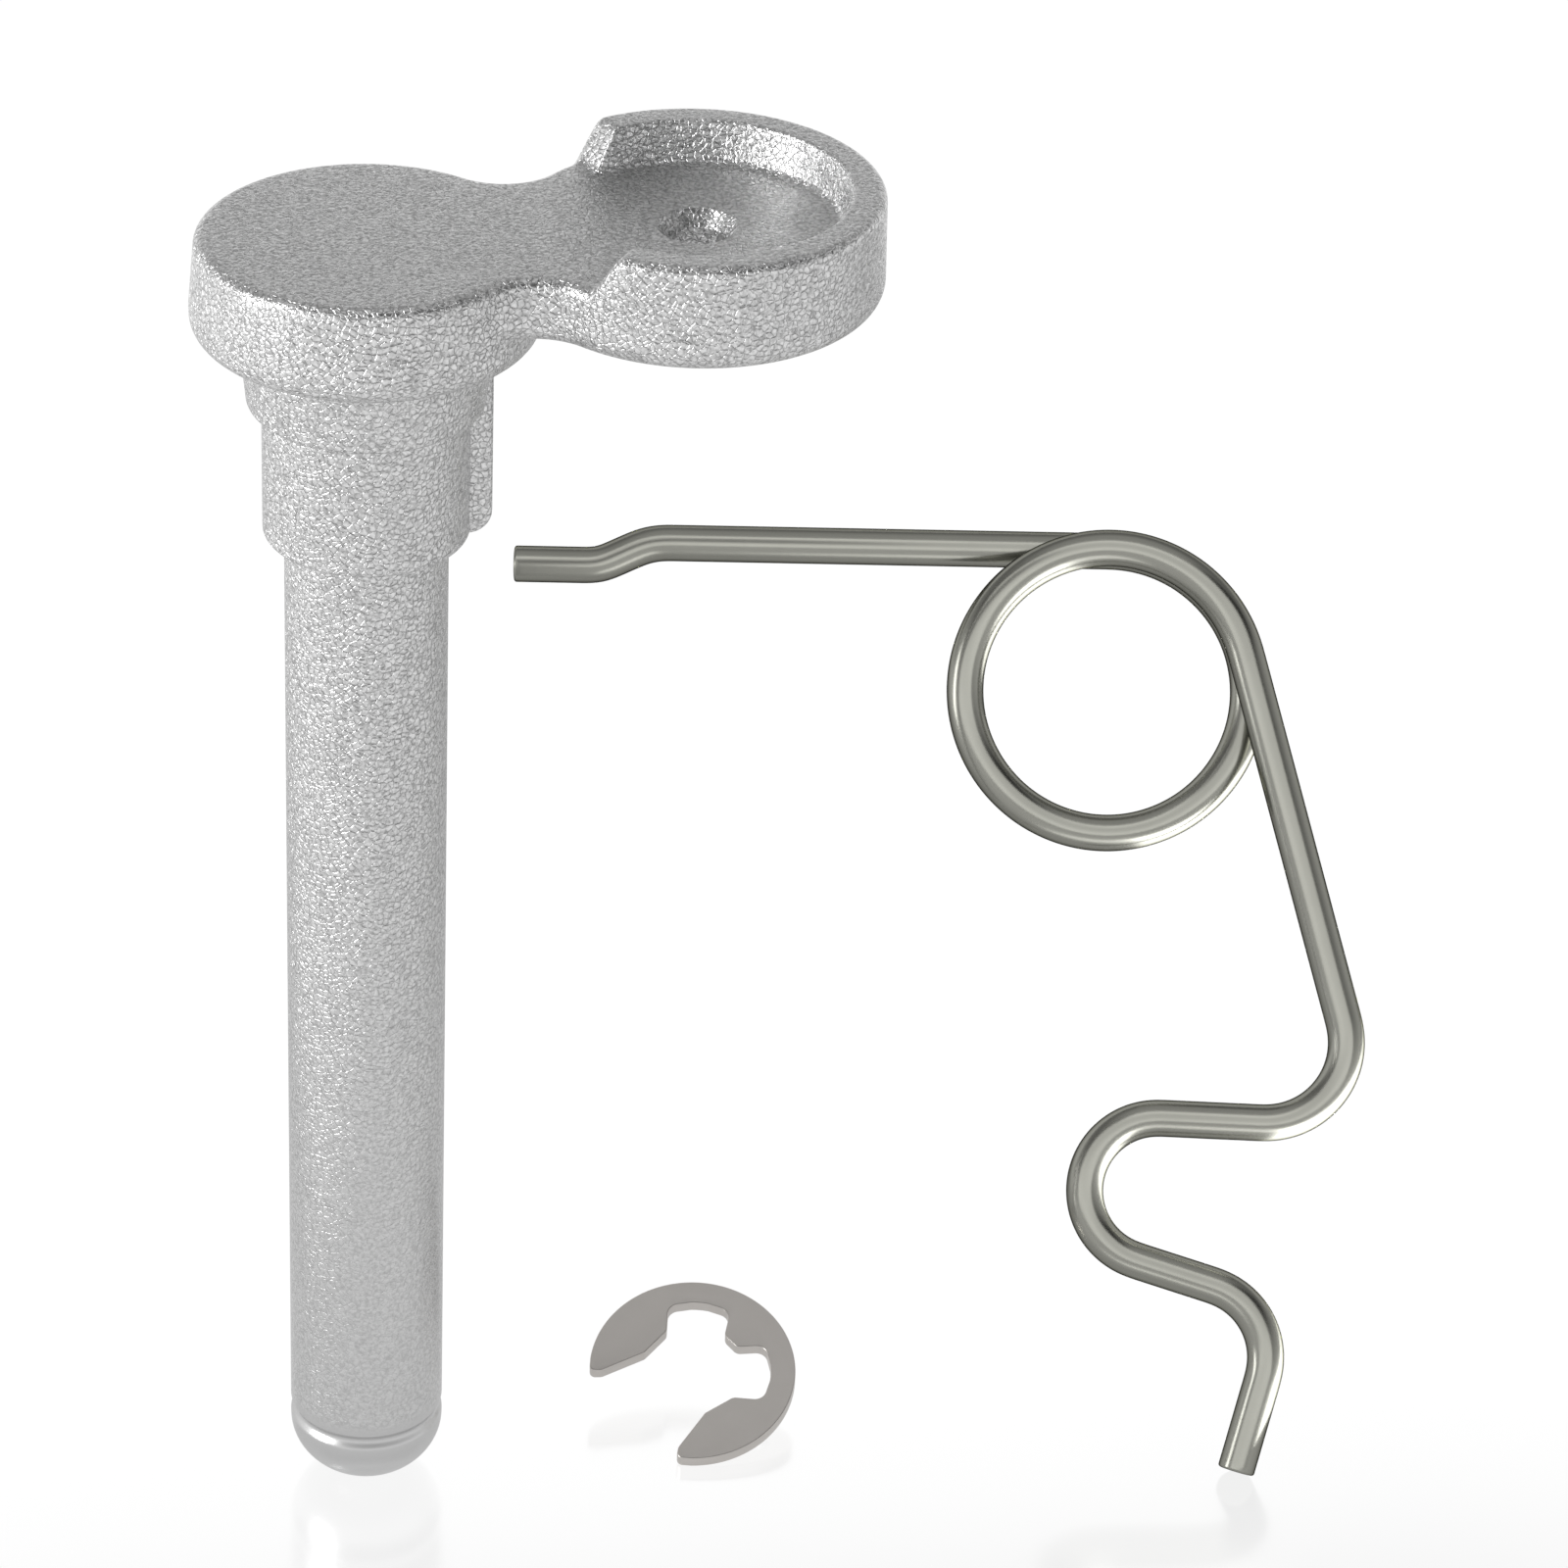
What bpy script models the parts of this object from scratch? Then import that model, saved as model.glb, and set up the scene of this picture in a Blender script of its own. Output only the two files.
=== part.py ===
"""A hitch pin lock kit: one cast pin, one torsion spring and one E-clip, set out loose.

The pin is a single casting. Its round shank has a domed tip, and it steps out through a
collar and a boss to a flat head. An arm runs out of the head to a cup with a hole through
its floor. The spring is one length of wire, with a short leg, an open coil and a long leg
with a snap bend. The clip is stamped from strip.

The pin's axis is Z, its tip is at the origin and its arm runs along +X. Sizes are in metres.
"""

from math import acos, atan2, ceil, cos, pi, radians, sin, sqrt, tan, tau

import bmesh
import bpy
import numpy as np
from mathutils import Matrix, Vector

MM = 0.001

# Pin: shank and tip.
SHANK_DIAMETER = 19.05 * MM
SHANK_LENGTH = 135.3 * MM
TIP_HEIGHT = 7.9 * MM
TIP_RING_ABOVE_DOME = 1.2 * MM
TIP_RING_WIDTH = 1.6 * MM
TIP_RING_DEPTH = 0.35 * MM

# Pin: collar, boss and head, each resting on the one below.
COLLAR_DIAMETER = 24.0 * MM
COLLAR_LENGTH = 16.9 * MM
BOSS_LOWER_DIAMETER = 27.4 * MM
BOSS_UPPER_DIAMETER = 29.2 * MM
BOSS_LENGTH = 9.0 * MM
SHOULDER_ROUNDING = 0.8 * MM
HEAD_LOWER_DIAMETER = 40.7 * MM
HEAD_UPPER_DIAMETER = 38.8 * MM
HEAD_THICKNESS = 11.9 * MM
HEAD_LOWER_ROUNDING = 3.4 * MM

# Pin: the rib down the collar, under the arm.
RIB_REACH = 14.4 * MM
RIB_THICKNESS = 5.0 * MM
RIB_CORNER_ROUNDING = 3.0 * MM

# Pin: the arm and its cup.
ARM_LENGTH = 37.5 * MM
ARM_THICKNESS = 7.8 * MM
ARM_LOWER_ROUNDING = 2.5 * MM
ARM_UPPER_ROUNDING = 1.4 * MM
WAIST_FILLET = 7.0 * MM
CUP_LOWER_DIAMETER = 43.4 * MM
CUP_UPPER_DIAMETER = 42.8 * MM
CUP_BASE_THICKNESS = 8.1 * MM
CUP_LOWER_ROUNDING = 2.6 * MM
CUP_WALL_HEIGHT = 4.9 * MM
CUP_WALL_ROUNDING = 1.4 * MM
CUP_MOUTH_ROUNDING = 0.5 * MM
CUP_FLOOR_DIAMETER = 33.8 * MM
CUP_MOUTH_DIAMETER = 34.9 * MM
CUP_WALL_BACK_ANGLE = radians(124.5)
CUP_WALL_FRONT_ANGLE = radians(131.0)
CUP_WALL_END_SLANT = radians(9.0)
HOLE_DIAMETER = 6.5 * MM
HOLE_MOUTH_DIAMETER = 9.3 * MM
HOLE_MOUTH_DEPTH = 1.9 * MM

# Spring: wire, coil and legs. A bend that follows the coil's winding is positive.
WIRE_DIAMETER = 4.76 * MM
COIL_DIAMETER = 36.7 * MM
COIL_PITCH = 5.75 * MM
COIL_SWEEP = radians(360.0 + 74.1)
SHORT_LEG_LENGTH = 57.4 * MM
JOGGLE_ANGLE = radians(25.0)
JOGGLE_INNER_RADIUS = 10.0 * MM
JOGGLE_LENGTH = 3.8 * MM
JOGGLE_OUTER_RADIUS = 5.8 * MM
SHORT_LEG_END_LENGTH = 9.8 * MM
LONG_LEG_LENGTH = 49.0 * MM
KNEE_RADIUS = 10.3 * MM
KNEE_ANGLE = radians(107.3)
SNAP_BEND_LEAD = 13.1 * MM
SNAP_BEND_RADIUS = 9.3 * MM
SNAP_BEND_ANGLE = radians(164.8)
TOE_BEND_LEAD = 10.6 * MM
TOE_BEND_RADIUS = 9.5 * MM
TOE_BEND_ANGLE = radians(88.6)
TOE_LENGTH = 12.4 * MM

# Spring: where it stands. It leans back with its toe on the floor.
SPRING_PLACE = (99.6 * MM, 45.7 * MM)
SPRING_TURN = radians(-11.3)
SPRING_LEAN = radians(33.3)
SPRING_ROLL = radians(2.3)

# E-clip, in polar sizes round its centre, with angles from its closed side.
CLIP_DIAMETER = 26.6 * MM
CLIP_THICKNESS = 1.9 * MM
CLIP_BORE_DIAMETER = 13.3 * MM
CLIP_RECESS_DIAMETER = 20.2 * MM
CLIP_JAW_TIP_DIAMETER = 23.4 * MM
CLIP_MIDDLE_PRONG_ANGLE = radians(10.5)
CLIP_RECESS_START_ANGLE = radians(20.0)
CLIP_RECESS_END_ANGLE = radians(67.0)
CLIP_SIDE_PRONG_ANGLE = radians(79.0)
CLIP_JAW_ANGLE = radians(117.0)
CLIP_TIP_ANGLE = radians(140.0)
CLIP_TIP_ROUNDING = 1.2 * MM
CLIP_JAW_ROUNDING = 0.7 * MM
CLIP_CORNER_ROUNDING = 1.1 * MM
CLIP_RECESS_ROUNDING = 1.5 * MM

# E-clip: where it lies. Its front edge is on the floor and its back edge is raised.
CLIP_PLACE = (42.6 * MM, 6.3 * MM)
CLIP_TURN = radians(-9.4)
CLIP_TILT = radians(21.5)
CLIP_HEADING = radians(43.5)

# Solids that are joined into the casting pass this far into each other.
JOIN_OVERLAP = 1.0 * MM
JOIN_INSET = 0.1 * MM
# Space between the two solids that the spring's wire is split into.
WIRE_GAP = 0.3 * MM

# How finely round shapes are divided.
TURNED_STEPS = 64
ARC_STEP = radians(15.0)
WIRE_STEP = radians(10.0)
WIRE_END_STEP = radians(1.0)
CLIP_ARC_STEP = radians(6.0)
CLIP_RIM_SETBACK = radians(9.0)
CLIP_RECESS_SETBACK = radians(17.0)
LOBE_POINTS = 46
WAIST_POINTS = 10

# Heights along the pin's axis, from the tip up.
BOSS_HEIGHT = SHANK_LENGTH + COLLAR_LENGTH
HEAD_HEIGHT = BOSS_HEIGHT + BOSS_LENGTH
TOP_HEIGHT = HEAD_HEIGHT + HEAD_THICKNESS
ARM_HEIGHT = TOP_HEIGHT - ARM_THICKNESS
CUP_HEIGHT = TOP_HEIGHT - CUP_BASE_THICKNESS
CUP_RIM_HEIGHT = TOP_HEIGHT + CUP_WALL_HEIGHT


def clear_scene():
    """Removes every object that the file starts with."""
    for existing in list(bpy.data.objects):
        bpy.data.objects.remove(existing, do_unlink=True)


def new_collection(name):
    """Returns a new collection, linked to the scene."""
    collection = bpy.data.collections.new(name)
    bpy.context.scene.collection.children.link(collection)
    return collection


def metal(name, colour, roughness, metallic=1.0):
    """Returns a metal with its own colour and roughness."""
    material = bpy.data.materials.new(name)
    material.use_nodes = True
    shader = material.node_tree.nodes["Principled BSDF"]
    shader.inputs["Base Color"].default_value = (*colour, 1.0)
    shader.inputs["Roughness"].default_value = roughness
    shader.inputs["Metallic"].default_value = metallic
    material.diffuse_color = (*colour, 1.0)
    return material


def hide_as_cutter(piece):
    """Marks a solid that only shapes another one."""
    piece.hide_render = True
    piece.display_type = "WIRE"


def arc(centre, radius, start, end, count):
    """Returns a number of points along an arc, both ends included."""
    angles = np.linspace(start, end, count)
    return [(centre[0] + radius * cos(a), centre[1] + radius * sin(a)) for a in angles]


def arc_points(centre, radius, start, end, step=ARC_STEP):
    """Returns points along an arc, no further apart than a step, both ends included."""
    return arc(centre, radius, start, end, max(2, ceil(abs(end - start) / step) + 1))


def rounded_path(corners, closed=False):
    """Returns a flat path with its corners rounded.

    A corner is (x, y, rounding). The first and last corner of an open path stay sharp.
    """
    path = []
    count = len(corners)
    for index, (x, y, rounding) in enumerate(corners):
        at_end = not closed and index in (0, count - 1)
        if at_end or rounding <= 0.0:
            path.append((x, y))
            continue
        corner = Vector((x, y))
        before = Vector(corners[index - 1][:2]) - corner
        after = Vector(corners[(index + 1) % count][:2]) - corner
        opening = before.angle(after)
        reach = min(rounding / tan(opening / 2.0), 0.49 * before.length, 0.49 * after.length)
        radius = reach * tan(opening / 2.0)
        middle = (before.normalized() + after.normalized()).normalized()
        centre = corner + middle * (radius / sin(opening / 2.0))
        first = corner + before.normalized() * reach - centre
        last = corner + after.normalized() * reach - centre
        start = atan2(first.y, first.x)
        turn = atan2(first.x * last.y - first.y * last.x, first.dot(last))
        path += arc_points(centre, radius, start, start + turn)
    return path


def turned(name, profile, collection):
    """Returns a solid turned round its own Z from a profile of (radius, height) points.

    The profile starts on the axis, runs outwards, down the outside and back to the axis.
    """
    mesh = bpy.data.meshes.new(name)
    points = [(radius, 0.0, height) for radius, height in profile]
    edges = [(index, index + 1) for index in range(len(points) - 1)]
    mesh.from_pydata(points, edges, [])
    piece = bpy.data.objects.new(name, mesh)
    collection.objects.link(piece)
    screw = piece.modifiers.new("turn", "SCREW")
    screw.steps = TURNED_STEPS
    screw.render_steps = TURNED_STEPS
    screw.use_merge_vertices = True
    screw.merge_threshold = 0.005 * MM
    screw.use_smooth_shade = True
    return piece


def stamped(name, outline, thickness, collection):
    """Returns a flat solid with a closed outline in its own XY plane, centred on that plane."""
    curve = bpy.data.curves.new(name, "CURVE")
    curve.dimensions = "2D"
    curve.fill_mode = "BOTH"
    curve.extrude = thickness / 2.0
    spline = curve.splines.new("POLY")
    spline.points.add(len(outline) - 1)
    for point, (x, y) in zip(spline.points, outline):
        point.co = (x, y, 0.0, 1.0)
    spline.use_cyclic_u = True
    source = bpy.data.objects.new(name + "_outline", curve)
    collection.objects.link(source)
    bpy.context.view_layer.update()
    evaluated = source.evaluated_get(bpy.context.evaluated_depsgraph_get())
    mesh = bpy.data.meshes.new_from_object(evaluated)
    mesh.name = name
    bpy.data.objects.remove(source, do_unlink=True)
    weld = bmesh.new()
    weld.from_mesh(mesh)
    bmesh.ops.remove_doubles(weld, verts=weld.verts, dist=0.001 * MM)
    bmesh.ops.recalc_face_normals(weld, faces=weld.faces)
    weld.to_mesh(mesh)
    weld.free()
    piece = bpy.data.objects.new(name, mesh)
    collection.objects.link(piece)
    return piece


def lofted(name, sections, collection):
    """Returns a closed solid through flat sections with the same number of points.

    A section is (outline, height), and the sections run from the bottom up, each outline
    running anticlockwise.
    """
    count = len(sections[0][0])
    points = [(x, y, height) for outline, height in sections for x, y in outline]
    faces = [tuple(reversed(range(count)))]
    for level in range(len(sections) - 1):
        low = level * count
        high = low + count
        for index in range(count):
            after = (index + 1) % count
            faces.append((low + index, low + after, high + after))
            faces.append((low + index, high + after, high + index))
    top = (len(sections) - 1) * count
    faces.append(tuple(range(top, top + count)))
    mesh = bpy.data.meshes.new(name)
    mesh.from_pydata(points, [], faces)
    mesh.shade_smooth()
    mesh.set_sharp_from_angle(angle=radians(30.0))
    piece = bpy.data.objects.new(name, mesh)
    collection.objects.link(piece)
    return piece


def combine(piece, other, operation):
    """Joins another solid to a piece, or cuts it away, with a Boolean modifier."""
    modifier = piece.modifiers.new(other.name, "BOOLEAN")
    modifier.operation = operation
    modifier.solver = "EXACT"
    modifier.object = other


# ------------------------------------------------------------------------------ pin casting


def head_radius(height):
    """Returns the radius of the head's drafted side at a height."""
    share = (height - HEAD_HEIGHT) / HEAD_THICKNESS
    return (HEAD_LOWER_DIAMETER + share * (HEAD_UPPER_DIAMETER - HEAD_LOWER_DIAMETER)) / 2.0


def pin_profile():
    """Returns the profile of the pin's turned body, from inside the head to the tip."""
    shank = SHANK_DIAMETER / 2.0
    ring_top = TIP_HEIGHT + TIP_RING_ABOVE_DOME + TIP_RING_WIDTH
    inside = TOP_HEIGHT - JOIN_OVERLAP
    covered = ARM_HEIGHT + ARM_LOWER_ROUNDING
    corners = [
        (0.0, inside, 0.0),
        (head_radius(inside) - JOIN_OVERLAP, inside, 0.0),
        (head_radius(covered) - JOIN_INSET, covered, 0.0),
        (head_radius(covered - JOIN_OVERLAP), covered - JOIN_OVERLAP, 0.0),
        (head_radius(HEAD_HEIGHT), HEAD_HEIGHT, HEAD_LOWER_ROUNDING),
        (BOSS_UPPER_DIAMETER / 2.0, HEAD_HEIGHT, 0.0),
        (BOSS_LOWER_DIAMETER / 2.0, BOSS_HEIGHT, SHOULDER_ROUNDING),
        (COLLAR_DIAMETER / 2.0, BOSS_HEIGHT, 0.0),
        (COLLAR_DIAMETER / 2.0, SHANK_LENGTH, SHOULDER_ROUNDING),
        (shank, SHANK_LENGTH, 0.0),
        (shank, ring_top, 0.0),
        (shank - TIP_RING_DEPTH, ring_top - TIP_RING_WIDTH / 2.0, 0.0),
        (shank, ring_top - TIP_RING_WIDTH, 0.0),
        (shank, TIP_HEIGHT, 0.0),
    ]
    dome = arc_points((0.0, 0.0), 1.0, 0.0, -pi / 2.0, radians(7.5))
    tip = [(shank * x, TIP_HEIGHT * (1.0 + y)) for x, y in dome[1:-1]]
    return rounded_path(corners) + tip + [(0.0, 0.0)]


def arm_outline(head, cup, fillet):
    """Returns the outline round the head and the cup, joined by a waist.

    Each side of the waist is an arc tangent to both circles. Every outline has the same
    number of points, so that a solid can be lofted through them.
    """
    to_head = head + fillet
    to_cup = cup + fillet
    x = (ARM_LENGTH**2 + to_head**2 - to_cup**2) / (2.0 * ARM_LENGTH)
    y = sqrt(to_head**2 - x**2)
    at_head = acos(x / to_head)
    at_cup = acos((x - ARM_LENGTH) / to_cup)
    round_head = arc((0.0, 0.0), head, at_head, tau - at_head, LOBE_POINTS)
    lower_waist = arc((x, -y), fillet, pi - at_head, pi - at_cup, WAIST_POINTS)
    round_cup = arc((ARM_LENGTH, 0.0), cup, -at_cup, at_cup, LOBE_POINTS)
    upper_waist = arc((x, y), fillet, at_cup - pi, at_head - pi, WAIST_POINTS)
    return round_head[:-1] + lower_waist[:-1] + round_cup[:-1] + upper_waist[:-1]


def arm_sections():
    """Returns the arm's sections from its underside up, with its upper and lower edges rounded."""
    edges = []
    for angle in np.linspace(0.0, pi / 2.0, 5):
        inset = ARM_LOWER_ROUNDING * (1.0 - sin(angle))
        edges.append((inset, ARM_HEIGHT + ARM_LOWER_ROUNDING * (1.0 - cos(angle))))
    for angle in np.linspace(0.0, pi / 2.0, 4):
        inset = ARM_UPPER_ROUNDING * (1.0 - cos(angle))
        edges.append((inset, TOP_HEIGHT - ARM_UPPER_ROUNDING * (1.0 - sin(angle))))
    cup = CUP_UPPER_DIAMETER / 2.0 - JOIN_INSET
    sections = []
    for inset, height in edges:
        outline = arm_outline(head_radius(height) - inset, cup - inset, WAIST_FILLET + inset)
        sections.append((outline, height))
    return sections


def cup_profile():
    """Returns the profile of the cup, with its floor kept just under the arm's top face."""
    slope = (CUP_MOUTH_DIAMETER - CUP_FLOOR_DIAMETER) / (2.0 * CUP_WALL_HEIGHT)
    inside = TOP_HEIGHT - JOIN_OVERLAP
    return rounded_path([
        (0.0, inside, 0.0),
        (CUP_FLOOR_DIAMETER / 2.0 - slope * JOIN_OVERLAP, inside, 0.0),
        (CUP_MOUTH_DIAMETER / 2.0, CUP_RIM_HEIGHT, CUP_MOUTH_ROUNDING),
        (CUP_UPPER_DIAMETER / 2.0, CUP_RIM_HEIGHT, CUP_WALL_ROUNDING),
        (CUP_LOWER_DIAMETER / 2.0, CUP_HEIGHT, CUP_LOWER_ROUNDING),
        (0.0, CUP_HEIGHT, 0.0),
    ])


def cup_gap_sections():
    """Returns the sections of the wedge that opens the cup's wall towards the head.

    The wall's ends point at the middle of the cup and lean back from the gap as they rise.
    The angles are measured round the cup from the arm's far end, at the height of the floor.
    """
    reach = CUP_LOWER_DIAMETER
    below = TOP_HEIGHT - JOIN_OVERLAP / 2.0
    above = CUP_RIM_HEIGHT + JOIN_OVERLAP
    sections = []
    for height in (below, above):
        lean = CUP_WALL_END_SLANT * (height - TOP_HEIGHT) / CUP_WALL_HEIGHT
        sweep = arc(
            (ARM_LENGTH, 0.0), reach, CUP_WALL_BACK_ANGLE - lean,
            tau - CUP_WALL_FRONT_ANGLE + lean, WAIST_POINTS,
        )
        sections.append(([(ARM_LENGTH, 0.0)] + sweep, height))
    return sections


def rib_outline():
    """Returns the rib's side view, as (x, height), from inside the collar to inside the head."""
    inside = SHANK_DIAMETER / 2.0 - JOIN_OVERLAP
    top = HEAD_HEIGHT + JOIN_OVERLAP
    foot = SHANK_LENGTH + JOIN_INSET
    return rounded_path([
        (inside, foot, 0.0),
        (RIB_REACH, foot, RIB_CORNER_ROUNDING),
        (RIB_REACH, top, 0.0),
        (inside, top, 0.0),
    ], closed=True)


def hole_profile():
    """Returns the profile of the tool that drills the cup's floor and widens its two mouths."""
    bore = HOLE_DIAMETER / 2.0
    mouth = HOLE_MOUTH_DIAMETER / 2.0
    slope = (mouth - bore) / HOLE_MOUTH_DEPTH
    past = mouth + slope * JOIN_OVERLAP
    bottom = min(CUP_HEIGHT, ARM_HEIGHT)
    return [
        (0.0, TOP_HEIGHT + JOIN_OVERLAP),
        (past, TOP_HEIGHT + JOIN_OVERLAP),
        (bore, TOP_HEIGHT - HOLE_MOUTH_DEPTH),
        (bore, bottom + HOLE_MOUTH_DEPTH),
        (past, bottom - JOIN_OVERLAP),
        (0.0, bottom - JOIN_OVERLAP),
    ]


def build_pin(parts, cutters):
    """Builds the pin: a turned body, the arm, the cup and the rib joined into one casting."""
    body = turned("pin_casting", pin_profile(), parts)
    body.data.materials.append(metal("cast_metal", (0.62, 0.62, 0.61), 0.42))
    arm = lofted("arm_solid", arm_sections(), cutters)
    cup = turned("cup_solid", cup_profile(), cutters)
    cup.location.x = ARM_LENGTH
    gap = lofted("cup_gap_cutter", cup_gap_sections(), cutters)
    rib = stamped("rib_solid", rib_outline(), RIB_THICKNESS, cutters)
    rib.rotation_euler.x = pi / 2.0
    hole = turned("hole_cutter", hole_profile(), cutters)
    hole.location.x = ARM_LENGTH
    combine(cup, gap, "DIFFERENCE")
    for joined in (arm, cup, rib):
        combine(body, joined, "UNION")
    combine(body, hole, "DIFFERENCE")
    for helper in (arm, cup, gap, rib, hole):
        hide_as_cutter(helper)
    return body


# ----------------------------------------------------------------------------------- spring


def coil_point(sweep):
    """Returns the point of the wire's centreline at an angle along the coil.

    The coil starts at its top, away from the front, and winds clockwise towards the front.
    """
    radius = COIL_DIAMETER / 2.0
    advance = COIL_PITCH * (sweep - COIL_SWEEP / 2.0) / tau
    return Vector((radius * sin(sweep), radius * cos(sweep), advance))


def leg_points(sweep, outwards, moves):
    """Returns the points of a leg that leaves the coil at an angle along it.

    outwards is 1 for a leg that goes on the way the coil winds, and -1 for one that goes
    back. A move is (straight length, bend radius, bend angle), the bend following the
    straight. A positive bend angle turns clockwise.
    """
    point = coil_point(sweep)
    heading = -sweep if outwards > 0 else pi - sweep
    points = []
    for length, radius, angle in moves:
        point = point + length * Vector((cos(heading), sin(heading), 0.0))
        points.append(point)
        count = ceil(abs(angle) / ARC_STEP)
        for _ in range(count):
            turn = -angle / count
            chord = 2.0 * radius * sin(abs(turn) / 2.0)
            middle = heading + turn / 2.0
            point = point + chord * Vector((cos(middle), sin(middle), 0.0))
            heading += turn
            points.append(point)
    return points


def coil_sweeps(start, end):
    """Returns angles along the coil, with a short step at each end so its faces are square."""
    count = ceil((end - start) / WIRE_STEP)
    inner = np.linspace(start + WIRE_END_STEP, end - WIRE_END_STEP, count)
    return [start, *inner, end]


def short_leg():
    """Returns the short leg's points from the coil out."""
    return leg_points(0.0, -1, (
        (SHORT_LEG_LENGTH, JOGGLE_INNER_RADIUS, -JOGGLE_ANGLE),
        (JOGGLE_LENGTH, JOGGLE_OUTER_RADIUS, JOGGLE_ANGLE),
        (SHORT_LEG_END_LENGTH, 0.0, 0.0),
    ))


def long_leg():
    """Returns the long leg's points from the coil out."""
    return leg_points(COIL_SWEEP, 1, (
        (LONG_LEG_LENGTH, KNEE_RADIUS, KNEE_ANGLE),
        (SNAP_BEND_LEAD, SNAP_BEND_RADIUS, -SNAP_BEND_ANGLE),
        (TOE_BEND_LEAD, TOE_BEND_RADIUS, TOE_BEND_ANGLE),
        (TOE_LENGTH, 0.0, 0.0),
    ))


def wire(name, points, material, collection):
    """Returns a round wire along a centreline, with both its ends closed."""
    curve = bpy.data.curves.new(name, "CURVE")
    curve.dimensions = "3D"
    curve.bevel_depth = WIRE_DIAMETER / 2.0
    curve.bevel_resolution = 4
    curve.use_fill_caps = True
    spline = curve.splines.new("POLY")
    spline.points.add(len(points) - 1)
    for target, point in zip(spline.points, points):
        target.co = (*point, 1.0)
    spline.use_smooth = True
    curve.materials.append(material)
    piece = bpy.data.objects.new(name, curve)
    collection.objects.link(piece)
    return piece


def spring_rotation():
    """Returns how the spring stands: its own Z is the coil's axis and points out of its front."""
    upright = Matrix.Rotation(pi / 2.0 - SPRING_LEAN, 4, "X")
    turn = Matrix.Rotation(SPRING_TURN, 4, "Z")
    return turn @ upright @ Matrix.Rotation(SPRING_ROLL, 4, "Z")


def standing_height(rotation, points, radius):
    """Returns the height of an origin whose lowest point, with a round wire on it, is at zero."""
    end_direction = rotation @ (points[-1] - points[-2]).normalized()
    reach = radius * sqrt(1.0 - end_direction.z**2)
    return reach - min((rotation @ point).z for point in points)


def build_spring(parts):
    """Builds the spring in two solids that part where the flexing leg's turn begins."""
    steel = metal("spring_steel", (0.42, 0.42, 0.38), 0.2)
    split = tau
    half_gap = WIRE_GAP / COIL_DIAMETER
    first_turn = [coil_point(sweep) for sweep in coil_sweeps(0.0, split - half_gap)]
    last_turn = [coil_point(sweep) for sweep in coil_sweeps(split + half_gap, COIL_SWEEP)]
    fixed = short_leg()[::-1] + first_turn
    flexing = last_turn + long_leg()
    rotation = spring_rotation()
    axis = bpy.data.objects.new("spring_axis", None)
    axis.empty_display_size = COIL_DIAMETER / 2.0
    parts.objects.link(axis)
    height = standing_height(rotation, flexing, WIRE_DIAMETER / 2.0)
    axis.matrix_world = Matrix.Translation((*SPRING_PLACE, height)) @ rotation
    for name, points in (("spring_coil", fixed), ("spring_long_leg", flexing)):
        piece = wire(name, points, steel, parts)
        piece.parent = axis


# ----------------------------------------------------------------------------------- E-clip


def polar(radius, angle, rounding=0.0):
    """Returns a corner at a radius and angle."""
    return (radius * cos(angle), radius * sin(angle), rounding)


def clip_outline():
    """Returns the clip's outline: a middle prong, two side prongs and two jaws that flare open."""
    outer = CLIP_DIAMETER / 2.0
    bore = CLIP_BORE_DIAMETER / 2.0
    recess = CLIP_RECESS_DIAMETER / 2.0
    centre = (0.0, 0.0)
    rim_end = CLIP_TIP_ANGLE - CLIP_RIM_SETBACK
    rim = arc_points(centre, outer, 0.0, rim_end, CLIP_ARC_STEP)
    hollow = arc_points(
        centre, recess, CLIP_RECESS_END_ANGLE - CLIP_RECESS_SETBACK,
        CLIP_RECESS_START_ANGLE + CLIP_RECESS_SETBACK, CLIP_ARC_STEP,
    )
    half = [(x, y, 0.0) for x, y in rim]
    half += [
        polar(outer, CLIP_TIP_ANGLE, CLIP_TIP_ROUNDING),
        polar(CLIP_JAW_TIP_DIAMETER / 2.0, CLIP_TIP_ANGLE, CLIP_TIP_ROUNDING),
        polar(bore, CLIP_JAW_ANGLE, CLIP_JAW_ROUNDING),
        polar(bore, CLIP_SIDE_PRONG_ANGLE, CLIP_CORNER_ROUNDING),
        polar(recess, CLIP_RECESS_END_ANGLE, CLIP_RECESS_ROUNDING),
    ]
    half += [(x, y, 0.0) for x, y in hollow]
    half += [
        polar(recess, CLIP_RECESS_START_ANGLE, CLIP_RECESS_ROUNDING),
        polar(bore, CLIP_MIDDLE_PRONG_ANGLE, CLIP_CORNER_ROUNDING),
    ]
    mirrored = [(x, -y, rounding) for x, y, rounding in reversed(half[1:])]
    return rounded_path(half + mirrored, closed=True)


def build_clip(parts):
    """Builds the E-clip, tilted so that its front edge rests on the floor."""
    clip = stamped("e_clip", clip_outline(), CLIP_THICKNESS, parts)
    clip.data.materials.append(metal("clip_steel", (0.45, 0.44, 0.42), 0.35))
    turn = Matrix.Rotation(CLIP_TURN, 4, "Z")
    tilt = Matrix.Rotation(CLIP_TILT, 4, "X")
    rotation = turn @ tilt @ Matrix.Rotation(CLIP_HEADING, 4, "Z")
    lowest = min((rotation @ vertex.co).z for vertex in clip.data.vertices)
    clip.matrix_world = Matrix.Translation((*CLIP_PLACE, -lowest)) @ rotation


def main():
    clear_scene()
    parts = new_collection("hitch_pin_lock")
    cutters = new_collection("cutters")
    build_pin(parts, cutters)
    build_spring(parts)
    build_clip(parts)


main()
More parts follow.
